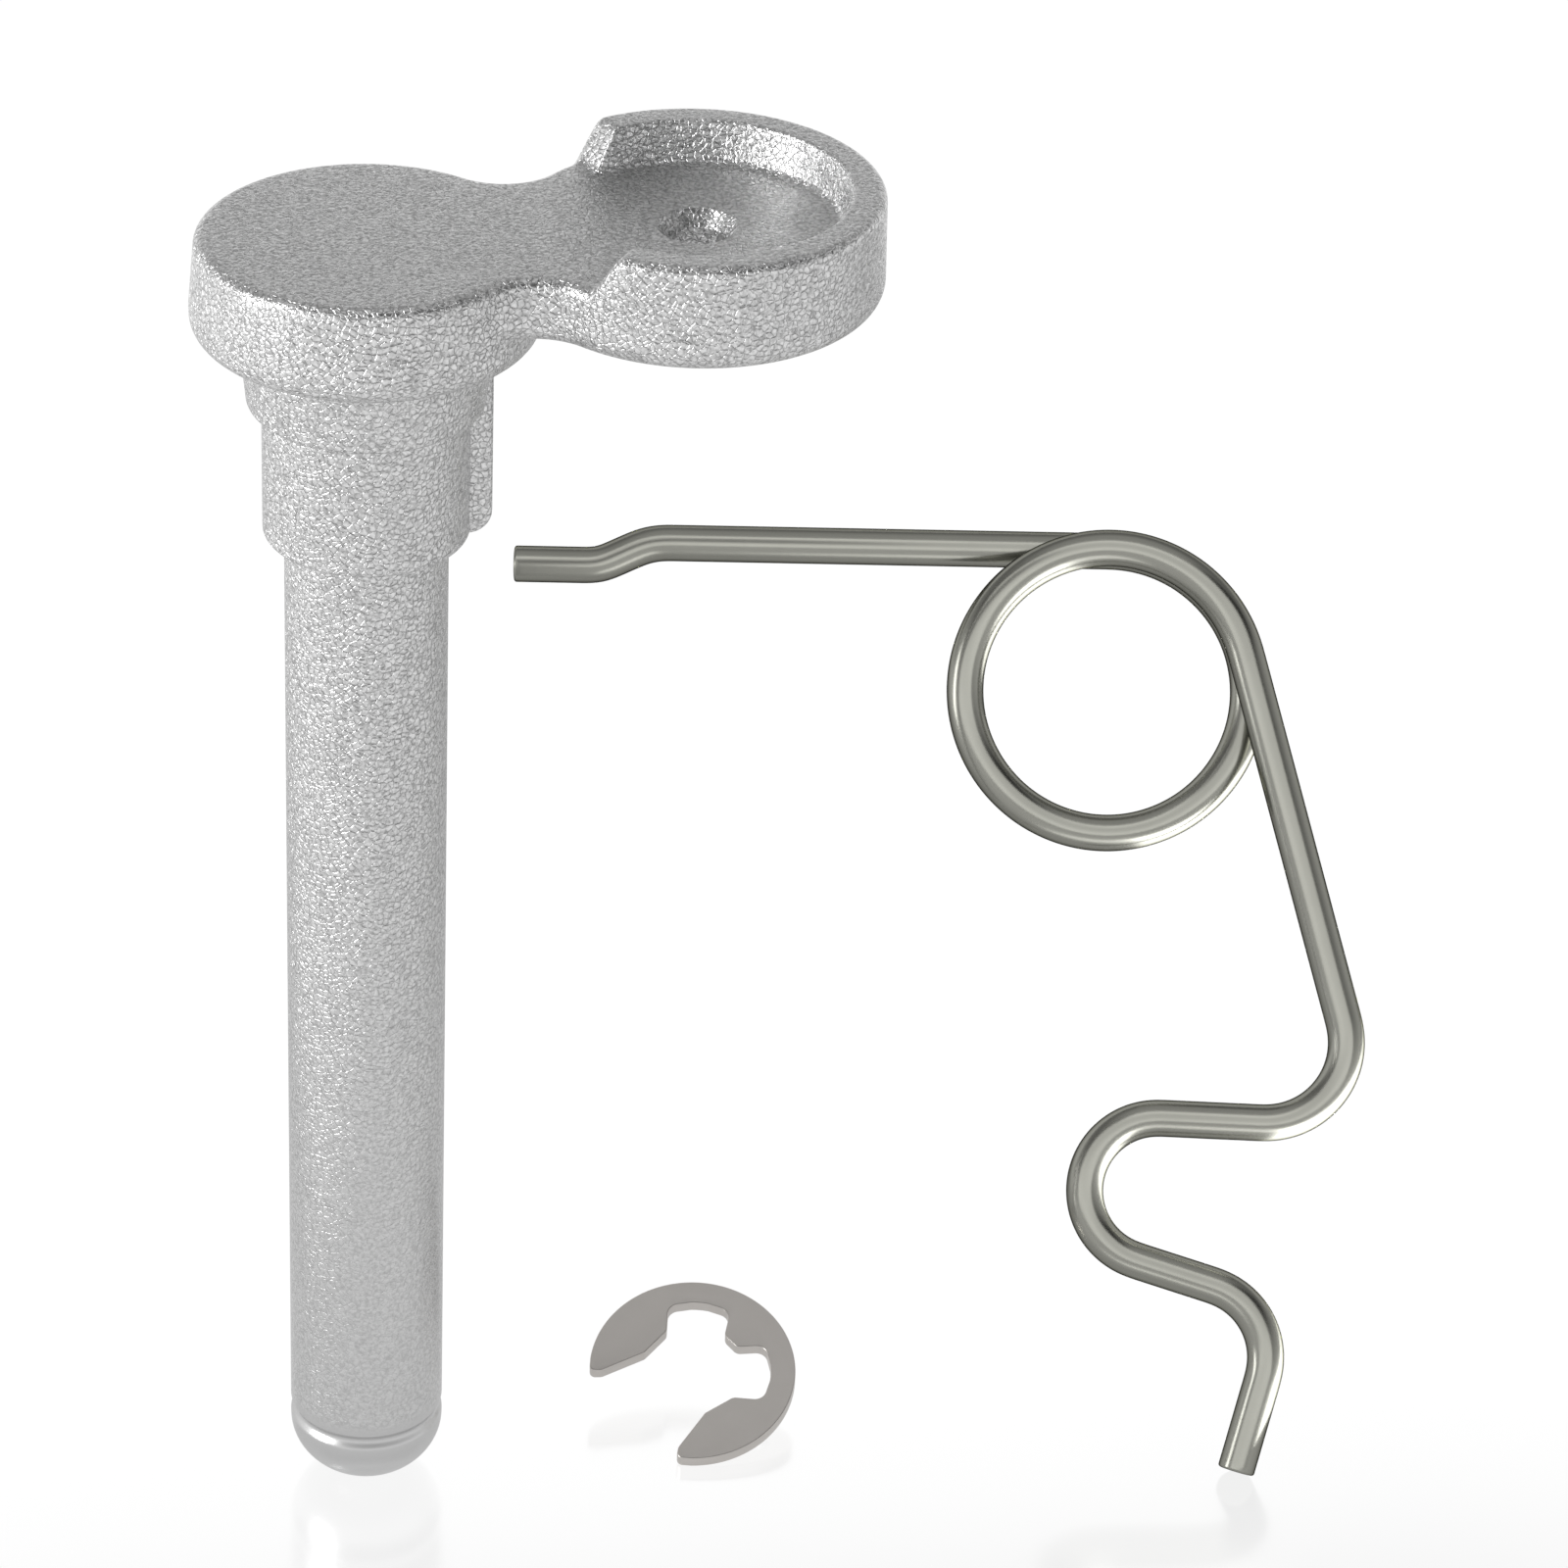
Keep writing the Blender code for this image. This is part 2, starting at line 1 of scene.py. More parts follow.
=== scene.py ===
"""A hitch pin lock kit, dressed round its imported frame: a cast pin, a torsion spring and an E-clip.

Each piece is a surface worked out as whole arrays: a shape of two parameters on a grid, or a
profile carried along a path. Sizes are in metres, with +Z up. The pin's axis is Z, its tip
is at the origin and its arm runs along +X.
"""

import logging
from dataclasses import dataclass, field
from enum import Enum
from math import acos, cos, pi, radians, sin, sqrt, tan, tau
from typing import Any, Sequence

import bmesh
import bpy
import numpy as np
from mathutils import Matrix, Vector


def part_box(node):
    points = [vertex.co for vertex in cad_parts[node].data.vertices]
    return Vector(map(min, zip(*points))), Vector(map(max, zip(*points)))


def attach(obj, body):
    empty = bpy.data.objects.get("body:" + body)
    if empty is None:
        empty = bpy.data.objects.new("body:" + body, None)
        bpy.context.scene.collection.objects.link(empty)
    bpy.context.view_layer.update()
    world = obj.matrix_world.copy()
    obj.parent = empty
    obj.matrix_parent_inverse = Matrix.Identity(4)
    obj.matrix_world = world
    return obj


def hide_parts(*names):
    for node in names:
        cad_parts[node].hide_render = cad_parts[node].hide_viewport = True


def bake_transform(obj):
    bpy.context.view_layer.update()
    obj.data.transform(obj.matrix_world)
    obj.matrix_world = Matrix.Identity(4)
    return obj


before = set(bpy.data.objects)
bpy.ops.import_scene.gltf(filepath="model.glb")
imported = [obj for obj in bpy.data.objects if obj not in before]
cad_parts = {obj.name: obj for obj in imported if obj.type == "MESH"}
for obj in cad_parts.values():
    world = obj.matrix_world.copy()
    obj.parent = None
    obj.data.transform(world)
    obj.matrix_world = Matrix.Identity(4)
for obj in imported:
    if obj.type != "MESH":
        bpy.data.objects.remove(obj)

MM = 0.001
WELD = 1e-7
LOG = logging.getLogger("hitch_pin_lock")
Points = np.ndarray
Piece = bpy.types.Object
Pair = tuple[float, float]
Triple = tuple[float, float, float]


# ---- shape maths


def arc(centre: Pair, radius: float, start: float, end: float, count: int) -> Points:
    """Points centre + radius (cos a, sin a), for a even from start to end.

    Args:
        centre: The arc's middle.
        radius: Its radius.
        start: The first angle.
        end: The last angle.
        count: How many points, both ends included.

    Returns:
        An array of count points.
    """
    angle = np.linspace(start, end, count)
    return np.stack([centre[0] + radius * np.cos(angle), centre[1] + radius * np.sin(angle)], axis=1)


def rounded_path(corners: Sequence[Triple], count: int = 9, closed: bool = False) -> Points:
    """A flat path whose corners are replaced by arcs tangent to both sides.

    An arc of radius r at a corner of opening angle g leaves each side r / tan(g / 2) before
    the corner, and its centre is r / sin(g / 2) from the corner along the bisector.

    Args:
        corners: (x, y, rounding) of each corner. The ends of an open path stay sharp.
        count: Points on each arc.
        closed: Whether the last corner is joined to the first.

    Returns:
        The path's points.
    """
    pieces = []
    last = len(corners) - 1
    for index, (x, y, rounding) in enumerate(corners):
        corner = np.array([x, y])
        if rounding <= 0.0 or (not closed and index in (0, last)):
            pieces.append(corner[None, :])
            continue
        before = np.array(corners[index - 1][:2]) - corner
        after = np.array(corners[(index + 1) % (last + 1)][:2]) - corner
        before_length = np.linalg.norm(before)
        after_length = np.linalg.norm(after)
        before = before / before_length
        after = after / after_length
        half = acos(float(np.clip(before @ after, -1.0, 1.0))) / 2.0
        reach = min(rounding / tan(half), 0.49 * before_length, 0.49 * after_length)
        radius = reach * tan(half)
        middle = (before + after) / np.linalg.norm(before + after)
        centre = corner + middle * radius / sin(half)
        first = corner + before * reach - centre
        final = corner + after * reach - centre
        start = np.arctan2(first[1], first[0])
        turn = np.arctan2(first[0] * final[1] - first[1] * final[0], first @ final)
        pieces.append(arc((centre[0], centre[1]), radius, start, start + turn, count))
    return np.concatenate(pieces)


def inset_outline(outline: Points, distance: Points) -> Points:
    """A closed outline moved inwards by each of several distances, along its mitred normals.

    At a corner between sides with inward normals m and n the point moves by
    (m + n) / (1 + m . n), which keeps each side parallel to itself.

    Args:
        outline: (N, 2) points running anticlockwise.
        distance: (K,) distances inwards.

    Returns:
        A (K, N, 2) array, one outline for each distance.
    """
    after = np.roll(outline, -1, axis=0) - outline
    after = after / np.linalg.norm(after, axis=1, keepdims=True)
    normal = np.stack([-after[:, 1], after[:, 0]], axis=1)
    previous = np.roll(normal, 1, axis=0)
    mitre = (normal + previous) / (1.0 + np.sum(normal * previous, axis=1, keepdims=True))
    return outline[None] + distance[:, None, None] * mitre[None]


def grid_faces(rows: int, columns: int, wrap_rows: bool = False, wrap_columns: bool = False) -> Points:
    """Quads over a grid of points numbered row by row.

    The quad at row i and column j is (i, j), (i, j + 1), (i + 1, j + 1), (i + 1, j).

    Args:
        rows: Number of rows of points.
        columns: Number of points in a row.
        wrap_rows: Whether the last row joins the first.
        wrap_columns: Whether each row is a closed ring.

    Returns:
        An (M, 4) array of point numbers.
    """
    i = np.arange(rows if wrap_rows else rows - 1)[:, None]
    j = np.arange(columns if wrap_columns else columns - 1)[None, :]
    i_next = (i + 1) % rows
    j_next = (j + 1) % columns
    quads = [i * columns + j, i * columns + j_next, i_next * columns + j_next, i_next * columns + j]
    return np.stack([np.broadcast_to(q, (i.size, j.size)) for q in quads], axis=-1).reshape(-1, 4)


def soft_ramp(x: Points, softness: float) -> Points:
    """A ramp from 0 at x = 0 to 1 at x = 1 whose two corners are parabolas of that half width.

    With F(x) = 0 below -e, (x + e)^2 / 4e up to e and x above it, the ramp is F(x) - F(x - 1).

    Args:
        x: Where the ramp is read.
        softness: The half width e.

    Returns:
        The ramp's values.
    """
    def lifted(value: Points) -> Points:
        """F, a ramp that starts along a parabola."""
        bend = (value + softness) ** 2 / (4.0 * softness)
        return np.where(value > softness, value, np.where(value > -softness, bend, 0.0))

    return lifted(x) - lifted(x - 1.0)


# ---- mesh making


def make_piece(name: str, points: Points, faces: Sequence[Sequence[int]], weld: float = 0.0) -> Piece:
    """Puts a surface into a new object at the origin.

    Args:
        name: The object's name.
        points: (N, 3) points in the frame's coordinates.
        faces: Point numbers of each face.
        weld: Points closer than this are merged, and faces without area go. 0 merges none.

    Returns:
        The object, linked to the scene.
    """
    mesh = bpy.data.meshes.new(name)
    mesh.from_pydata(np.asarray(points, float).tolist(), [], [list(map(int, f)) for f in faces])
    if weld > 0.0:
        work = bmesh.new()
        work.from_mesh(mesh)
        bmesh.ops.remove_doubles(work, verts=work.verts, dist=weld)
        bmesh.ops.dissolve_degenerate(work, edges=work.edges, dist=weld)
        bmesh.ops.recalc_face_normals(work, faces=work.faces)
        work.to_mesh(mesh)
        work.free()
    mesh.update()
    piece = bpy.data.objects.new(name, mesh)
    bpy.context.scene.collection.objects.link(piece)
    return piece


def smooth(piece: Piece, angle: float) -> None:
    """Shades a piece smooth except at edges sharper than an angle."""
    piece.data.shade_smooth()
    piece.data.set_sharp_from_angle(angle=angle)


def turned(name: str, profile: Points, centre: Pair, steps: int) -> Piece:
    """A closed solid (r cos a, r sin a, z) turned from a profile r, z that starts and ends on the axis.

    Args:
        name: The object's name.
        profile: (N, 2) radius and height, from the top down the outside to the bottom.
        centre: Where the axis stands.
        steps: How many facets round the axis.

    Returns:
        The object.
    """
    angle = np.linspace(0.0, tau, steps, endpoint=False)[:, None]
    radius = profile[None, :, 0]
    x = centre[0] + radius * np.cos(angle)
    y = centre[1] + radius * np.sin(angle)
    z = np.broadcast_to(profile[None, :, 1], x.shape)
    points = np.stack([x, y, z], axis=-1).reshape(-1, 3)
    return make_piece(name, points, grid_faces(steps, len(profile), wrap_rows=True), weld=WELD)


def plate(name: str, outline: Points, thickness: float, rounding: float, place: Matrix) -> Piece:
    """A flat plate whose edges are quarter rounds.

    At an angle a from 0 to 90 degrees an edge's section is inset by r (1 - sin a) and
    r (1 - cos a) from the face, on both sides of the plate.

    Args:
        name: The object's name.
        outline: (N, 2) points running anticlockwise in the plate's own XY plane.
        thickness: The plate's thickness, shared equally by both sides of that plane.
        rounding: The edges' rounding.
        place: Where the plate goes.

    Returns:
        The object.
    """
    angle = np.linspace(0.0, pi / 2.0, 6)
    inset = rounding * (1.0 - np.sin(angle))
    height = thickness / 2.0 - rounding * (1.0 - np.cos(angle))
    insets = np.concatenate([inset, inset[::-1]])
    heights = np.concatenate([-height, height[::-1]])
    rings = inset_outline(outline, insets)
    count = len(outline)
    z = np.broadcast_to(heights[:, None, None], (len(heights), count, 1))
    points = np.concatenate([rings, z], axis=2).reshape(-1, 3)
    points = points @ np.array(place.to_3x3()).T + np.array(place.translation)
    faces = grid_faces(len(heights), count, wrap_columns=True).tolist()
    faces.append(list(range(count))[::-1])
    faces.append(list(range((len(heights) - 1) * count, len(heights) * count)))
    return make_piece(name, points, faces)


def combine(piece: Piece, other: Piece, operation: str) -> None:
    """Joins another solid to a piece or cuts it away, and keeps only the result.

    Args:
        piece: The piece, whose mesh is replaced.
        other: The other solid, which is removed.
        operation: UNION or DIFFERENCE.
    """
    modifier = piece.modifiers.new(other.name, "BOOLEAN")
    modifier.operation = operation
    modifier.solver = "EXACT"
    modifier.object = other
    bpy.context.view_layer.update()
    result = bpy.data.meshes.new_from_object(piece.evaluated_get(bpy.context.evaluated_depsgraph_get()))
    piece.modifiers.clear()
    piece.data = result
    bpy.data.objects.remove(other, do_unlink=True)


# ---- shader writing


@dataclass(frozen=True)
class Socket:
    """An output socket that takes part in Python arithmetic by adding Math nodes."""

    writer: "ShaderWriter"
    link: Any

    def _maths(self, operation: str, *values: Any) -> "Socket":
        """Adds one Math node over this socket and other values."""
        return self.writer.node("ShaderNodeMath", {"operation": operation}, dict(enumerate(values)))

    def __add__(self, other: Any) -> "Socket":
        """self + other."""
        return self._maths("ADD", self, other)

    def __radd__(self, other: Any) -> "Socket":
        """other + self."""
        return self._maths("ADD", other, self)

    def __sub__(self, other: Any) -> "Socket":
        """self - other."""
        return self._maths("SUBTRACT", self, other)

    def __rsub__(self, other: Any) -> "Socket":
        """other - self."""
        return self._maths("SUBTRACT", other, self)

    def __mul__(self, other: Any) -> "Socket":
        """self times other."""
        return self._maths("MULTIPLY", self, other)

    def __rmul__(self, other: Any) -> "Socket":
        """other times self."""
        return self._maths("MULTIPLY", other, self)

    def clamped(self) -> "Socket":
        """Keeps the value from 0 to 1."""
        return self.writer.node("ShaderNodeClamp", {}, {"Value": self})


class ShaderWriter:
    """Writes the nodes of one material or world."""

    def __init__(self, tree: bpy.types.NodeTree) -> None:
        """Starts on a node tree."""
        self.tree = tree

    def set_input(self, node: bpy.types.Node, key: Any, value: Any) -> None:
        """Links a socket to a node's input, or sets the input's own value.

        Args:
            node: The node.
            key: The input's name or number.
            value: A socket or a plain value.
        """
        target = node.inputs[key]
        if isinstance(value, Socket):
            self.tree.links.new(value.link, target)
        else:
            target.default_value = value

    def node(self, kind: str, settings: dict[str, Any], inputs: dict[Any, Any], output: Any = 0) -> Socket:
        """Adds a node.

        Args:
            kind: The node's type.
            settings: Its own properties, set first. "stops" holds a ramp's positions and colours.
            inputs: Values or sockets by input name or number.
            output: Which output is returned.

        Returns:
            The chosen output.
        """
        made = self.tree.nodes.new(kind)
        for key, value in settings.items():
            if key == "stops":
                self._set_stops(made.color_ramp, value)
            else:
                setattr(made, key, value)
        for key, value in inputs.items():
            self.set_input(made, key, value)
        return Socket(self, made.outputs[output])

    @staticmethod
    def _set_stops(ramp: bpy.types.ColorRamp, stops: Sequence[Pair]) -> None:
        """Gives a ramp grey stops of (position, brightness).

        Args:
            ramp: The ramp, which starts with two stops.
            stops: The stops, in order.
        """
        while len(ramp.elements) < len(stops):
            ramp.elements.new(1.0)
        for element, (position, level) in zip(ramp.elements, stops):
            element.position = position
            element.color = (level, level, level, 1.0)

    def place(self) -> Socket:
        """The point's own coordinates on the piece."""
        return self.node("ShaderNodeTexCoord", {}, {}, "Object")

    def height(self) -> Socket:
        """The point's height above the floor."""
        return self.node("ShaderNodeSeparateXYZ", {}, {0: self.place()}, "Z")

    def noise(self, size: float, detail: float = 2.0, at: Any = None) -> Socket:
        """Noise from 0 to 1 whose lumps are about a size across."""
        values = {"Vector": at or self.place(), "Scale": 1.0 / size, "Detail": detail, "Roughness": 0.5}
        return self.node("ShaderNodeTexNoise", {}, values, "Fac")

    def edges(self, size: float, wander: float) -> Socket:
        """Distance to the nearest edge between cells about a size across, whose edges wander.

        Args:
            size: How far apart the cells are.
            wander: How far their edges are moved.

        Returns:
            The distance, as a share of the size.
        """
        values = {"Vector": self.place(), "Scale": 1.0 / size, "Detail": 1.0}
        drift = self.node("ShaderNodeTexNoise", {}, values, "Color")
        reach = {0: drift, 1: (wander, wander, wander), 2: self.place()}
        moved = self.node("ShaderNodeVectorMath", {"operation": "MULTIPLY_ADD"}, reach)
        cells = {"Vector": moved, "Scale": 1.0 / size}
        return self.node("ShaderNodeTexVoronoi", {"feature": "DISTANCE_TO_EDGE"}, cells, "Distance")

    def between(
        self, value: Any, low: float, high: float, to_low: float = 0.0, to_high: float = 1.0,
    ) -> Socket:
        """Maps low to high onto to_low to to_high, with a smooth step."""
        inputs = {"Value": value, "From Min": low, "From Max": high, "To Min": to_low, "To Max": to_high}
        return self.node("ShaderNodeMapRange", {"interpolation_type": "SMOOTHSTEP"}, inputs)

    def colour_mix(self, share: Any, first: Sequence[float], second: Sequence[float]) -> Socket:
        """Mixes two colours by a share."""
        inputs = {"Factor": share, 6: (*first, 1.0), 7: (*second, 1.0)}
        return self.node("ShaderNodeMix", {"data_type": "RGBA"}, inputs, 2)


@dataclass(frozen=True)
class Finish:
    """Base of the finishes: a bare metal whose two tones mix over a fine relief."""

    name: str
    light: Triple
    dark: Triple
    roughness: float
    roughness_spread: float
    relief: float
    relief_strength: float
    edge_tint: float

    def pattern(self, writer: ShaderWriter) -> tuple[Socket, Socket, Socket]:
        """The light tone's share, the share of the roughness's spread, and the relief's height."""
        raise NotImplementedError

    def build(self) -> bpy.types.Material:
        """Lays the pattern over a metal.

        Returns:
            The material.
        """
        material = bpy.data.materials.new(self.name)
        material.use_nodes = True
        shader = material.node_tree.nodes["Principled BSDF"]
        writer = ShaderWriter(material.node_tree)
        shade, rough, height = self.pattern(writer)
        relief = {"Strength": self.relief_strength, "Distance": self.relief, "Height": height}
        # The tint colours the reflection at grazing angles; a dark tint is painted shade along a piece's
        # edges.
        tint = (self.edge_tint, self.edge_tint, self.edge_tint, 1.0)
        writer.set_input(shader, "Metallic", 1.0)
        writer.set_input(shader, "Specular Tint", tint)
        writer.set_input(shader, "Base Color", writer.colour_mix(shade, self.dark, self.light))
        writer.set_input(shader, "Roughness", self.roughness + rough * self.roughness_spread)
        writer.set_input(shader, "Normal", writer.node("ShaderNodeBump", {}, relief, "Normal"))
        return material


@dataclass(frozen=True)
class CastMetal(Finish):
    """Bright blasted casting: flecks with wandering edges over a fine grain, and a smooth tip."""

    name: str = "cast_metal"
    light: Triple = (0.86, 0.86, 0.86)
    dark: Triple = (0.40, 0.40, 0.40)
    roughness: float = 0.26
    roughness_spread: float = 0.08
    relief: float = 0.15 * MM
    relief_strength: float = 1.0
    edge_tint: float = 0.95
    fleck: float = 0.72 * MM
    vein: float = 0.16
    wander: float = 0.45 * MM
    grain: float = 0.5 * MM
    grain_contrast: Pair = (0.32, 0.68)
    lump: float = 2.4 * MM
    relief_shares: Triple = (0.45, 0.7, 0.5)
    shade_shares: Triple = (0.35, 0.65, 0.1)
    mean_shade: float = 0.55
    ground_heights: Pair = (10.9 * MM, 12.9 * MM)
    ground_strength: float = 0.05
    worn_heights: Pair = (16.0 * MM, 120.0 * MM)
    worn_strength: float = 0.40

    def pattern(self, writer: ShaderWriter) -> tuple[Socket, Socket, Socket]:
        """Flecks, grain and lumps, which weaken down the shank and almost end at the tip.

        Args:
            writer: The material's writer.

        Returns:
            The light tone's share, the roughness's share and the relief's height.
        """
        height = writer.height()
        ground = writer.between(height, *self.ground_heights, self.ground_strength, 1.0)
        cast = ground * writer.between(height, *self.worn_heights, self.worn_strength, 1.0)
        grain = writer.noise(self.grain)
        flecks = writer.between(writer.edges(self.fleck, self.wander), 0.0, self.vein)
        lumps = writer.noise(self.lump)
        of_flecks, of_grain, of_lumps = self.relief_shares
        relief = (flecks * of_flecks + grain * of_grain + lumps * of_lumps) * cast
        of_flecks, of_grain, of_lumps = self.shade_shares
        crisp = writer.between(grain, *self.grain_contrast)
        speckle = (flecks * of_flecks + crisp * of_grain + lumps * of_lumps).clamped()
        return (speckle - self.mean_shade) * cast + self.mean_shade, lumps, relief


@dataclass(frozen=True)
class SpringWire(Finish):
    """Smooth drawn spring steel with an olive-grey tone, faint lines along the wire, and painted shade along
    its edges.
    """

    name: str = "spring_steel"
    light: Triple = (0.34, 0.34, 0.305)
    dark: Triple = (0.28, 0.28, 0.25)
    roughness: float = 0.20
    roughness_spread: float = 0.08
    relief: float = 0.01 * MM
    relief_strength: float = 0.12
    # A black tint at grazing angles: painted shade, a dark line along both edges of the wire.
    edge_tint: float = 0.0
    streaks_along: float = 3.0
    streaks_round: float = 60.0
    cloud: float = 7.0 * MM

    def pattern(self, writer: ShaderWriter) -> tuple[Socket, Socket, Socket]:
        """Streaks on the wire's own lengthwise map, mixed evenly with clouds.

        Args:
            writer: The material's writer.

        Returns:
            The light tone's share, the roughness's share and the relief's height.
        """
        along = writer.node("ShaderNodeUVMap", {"uv_map": "wire"}, {})
        stretch = {"Vector": along, "Scale": (self.streaks_along, self.streaks_round, 1.0)}
        streaks = writer.noise(1.0, detail=3.0, at=writer.node("ShaderNodeMapping", {}, stretch))
        return (streaks * 0.5 + writer.noise(self.cloud) * 0.5).clamped(), streaks, streaks


@dataclass(frozen=True)
class ClipSteel(Finish):
    """Flat satin strip, tumbled smooth, with fine scattered marks."""

    name: str = "clip_steel"
    light: Triple = (0.67, 0.64, 0.61)
    dark: Triple = (0.61, 0.58, 0.55)
    roughness: float = 0.30
    roughness_spread: float = 0.1
    relief: float = 0.012 * MM
    relief_strength: float = 0.3
    edge_tint: float = 1.0
    mark: float = 0.35 * MM
    mark_share: float = 0.4
    cloud: float = 4.0 * MM

    def pattern(self, writer: ShaderWriter) -> tuple[Socket, Socket, Socket]:
        """Fine marks mixed with clouds.

        Args:
            writer: The material's writer.

        Returns:
            The light tone's share, the roughness's share and the relief's height.
        """
        marks = writer.noise(self.mark, detail=3.0)
        clouds = writer.noise(self.cloud)
        shade = (marks * self.mark_share + clouds * (1.0 - self.mark_share)).clamped()
        return shade, marks, marks


# ---- the pieces


class Body(Enum):
    """The bodies that move by themselves."""

    PIN = "pin"
    SPRING = "spring"
    SPRING_LEG = "spring_leg"
    CLIP = "clip"


@dataclass
class PinCasting:
    """The pin: shank, collar, boss and head turned, with the arm and cup lofted on, and a rib."""

    shank_diameter: float = 19.05 * MM
    shank_length: float = 135.3 * MM
    tip_height: float = 7.9 * MM
    ring_height: float = 9.7 * MM
    ring_width: float = 2.6 * MM
    ring_depth: float = 0.5 * MM
    collar_diameter: float = 24.0 * MM
    collar_length: float = 16.9 * MM
    boss_lower_diameter: float = 27.4 * MM
    boss_upper_diameter: float = 29.2 * MM
    boss_length: float = 9.0 * MM
    shoulder_rounding: float = 0.8 * MM
    crease_rounding: float = 0.35 * MM
    head_lower_diameter: float = 40.7 * MM
    head_upper_diameter: float = 38.8 * MM
    head_thickness: float = 11.9 * MM
    head_lower_rounding: float = 3.4 * MM
    rib_reach: float = 14.4 * MM
    rib_thickness: float = 5.0 * MM
    rib_corner: float = 3.0 * MM
    rib_rounding: float = 0.8 * MM
    arm_length: float = 37.5 * MM
    arm_thickness: float = 7.8 * MM
    arm_lower_rounding: float = 2.5 * MM
    arm_upper_rounding: float = 1.4 * MM
    waist_fillet: float = 7.0 * MM
    cup_lower_diameter: float = 43.4 * MM
    cup_upper_diameter: float = 42.8 * MM
    cup_base_thickness: float = 8.1 * MM
    cup_lower_rounding: float = 2.6 * MM
    cup_wall_height: float = 4.9 * MM
    cup_wall_rounding: float = 1.1 * MM
    cup_mouth_rounding: float = 0.5 * MM
    cup_floor_diameter: float = 33.8 * MM
    cup_mouth_diameter: float = 34.9 * MM
    cup_floor_fillet: float = 1.2 * MM
    wall_back_angle: float = radians(124.5)
    wall_front_angle: float = radians(131.0)
    wall_end_slant: float = radians(9.0)
    wall_end_softness: float = 0.2
    hole_diameter: float = 6.5 * MM
    hole_mouth_diameter: float = 9.3 * MM
    hole_mouth_depth: float = 1.9 * MM
    hole_rounding: float = 0.3 * MM
    hole_flare: float = 2.0 * MM
    hole_lift: float = 0.03 * MM
    hole_steps: int = 96
    sharp_angle: float = radians(32.0)
    skin: float = 0.05 * MM
    overlap: float = 1.0 * MM
    section_reach: float = 6.0 * MM
    floor_reach: float = 6.5 * MM
    rounding_steps: int = 11
    steps: int = 192
    head_steps: int = 190
    waist_steps: int = 40
    cup_steps: int = 540
    finish: Finish = field(default_factory=CastMetal)

    @property
    def boss_height(self) -> float:
        """Where the boss starts."""
        return self.shank_length + self.collar_length

    @property
    def head_height(self) -> float:
        """The head's underside."""
        return self.boss_height + self.boss_length

    @property
    def top(self) -> float:
        """The flat top of the head, arm and cup floor."""
        return self.head_height + self.head_thickness

    def head_side(self, height: float) -> float:
        """The head's radius at a height, on its drafted side.

        Args:
            height: The height above the floor.

        Returns:
            The radius.
        """
        share = (height - self.head_height) / self.head_thickness
        narrowing = self.head_lower_diameter - self.head_upper_diameter
        return (self.head_lower_diameter - share * narrowing) / 2.0

    def cup_side(self, height: float) -> float:
        """The cup's radius at a height, on its drafted side.

        Args:
            height: The height above the floor.

        Returns:
            The radius.
        """
        bottom = self.top - self.cup_base_thickness
        share = (height - bottom) / (self.cup_base_thickness + self.cup_wall_height)
        return (self.cup_lower_diameter + share * (self.cup_upper_diameter - self.cup_lower_diameter)) / 2.0

    def turned_profile(self) -> Points:
        """The turned body's radius and height, from inside the head down to the tip.

        The shoulders are arcs, the tip is a quarter ellipse, and above it a groove lowers
        the radius by d (1 + cos(2 pi (z - c) / w)) / 2 within half its width of c.

        Returns:
            (N, 2) radius and height.
        """
        inside = self.top - self.overlap
        shank = self.shank_diameter / 2.0
        crease = self.crease_rounding
        under = self.head_height + self.skin
        upper = rounded_path([
            (0.0, inside, 0.0),
            (self.head_side(inside) - self.skin, inside, 0.0),
            (self.head_side(under) - self.skin, under, self.head_lower_rounding),
            (self.boss_upper_diameter / 2.0, under, crease),
            (self.boss_lower_diameter / 2.0, self.boss_height, self.shoulder_rounding),
            (self.collar_diameter / 2.0, self.boss_height, crease),
            (self.collar_diameter / 2.0, self.shank_length, self.shoulder_rounding),
            (shank, self.shank_length, crease),
            (shank, self.shank_length - 4.0 * crease, 0.0),
        ])
        low = self.ring_height - self.ring_width / 2.0
        high = self.ring_height + self.ring_width / 2.0
        plain = np.linspace(self.shank_length - 6.0 * crease, high + crease, 40)
        groove = np.linspace(high, low, 25)
        heights = np.concatenate([plain, groove])
        across = np.clip((heights - self.ring_height) / self.ring_width, -0.5, 0.5)
        radii = shank - self.ring_depth * (1.0 + np.cos(tau * across)) / 2.0
        dome = np.linspace(0.0, -pi / 2.0, 28)
        tip = np.stack([shank * np.cos(dome), self.tip_height * (1.0 + np.sin(dome))], axis=1)
        tip[-1] = (0.0, 0.0)
        return np.concatenate([upper, np.stack([radii, heights], axis=1), tip])

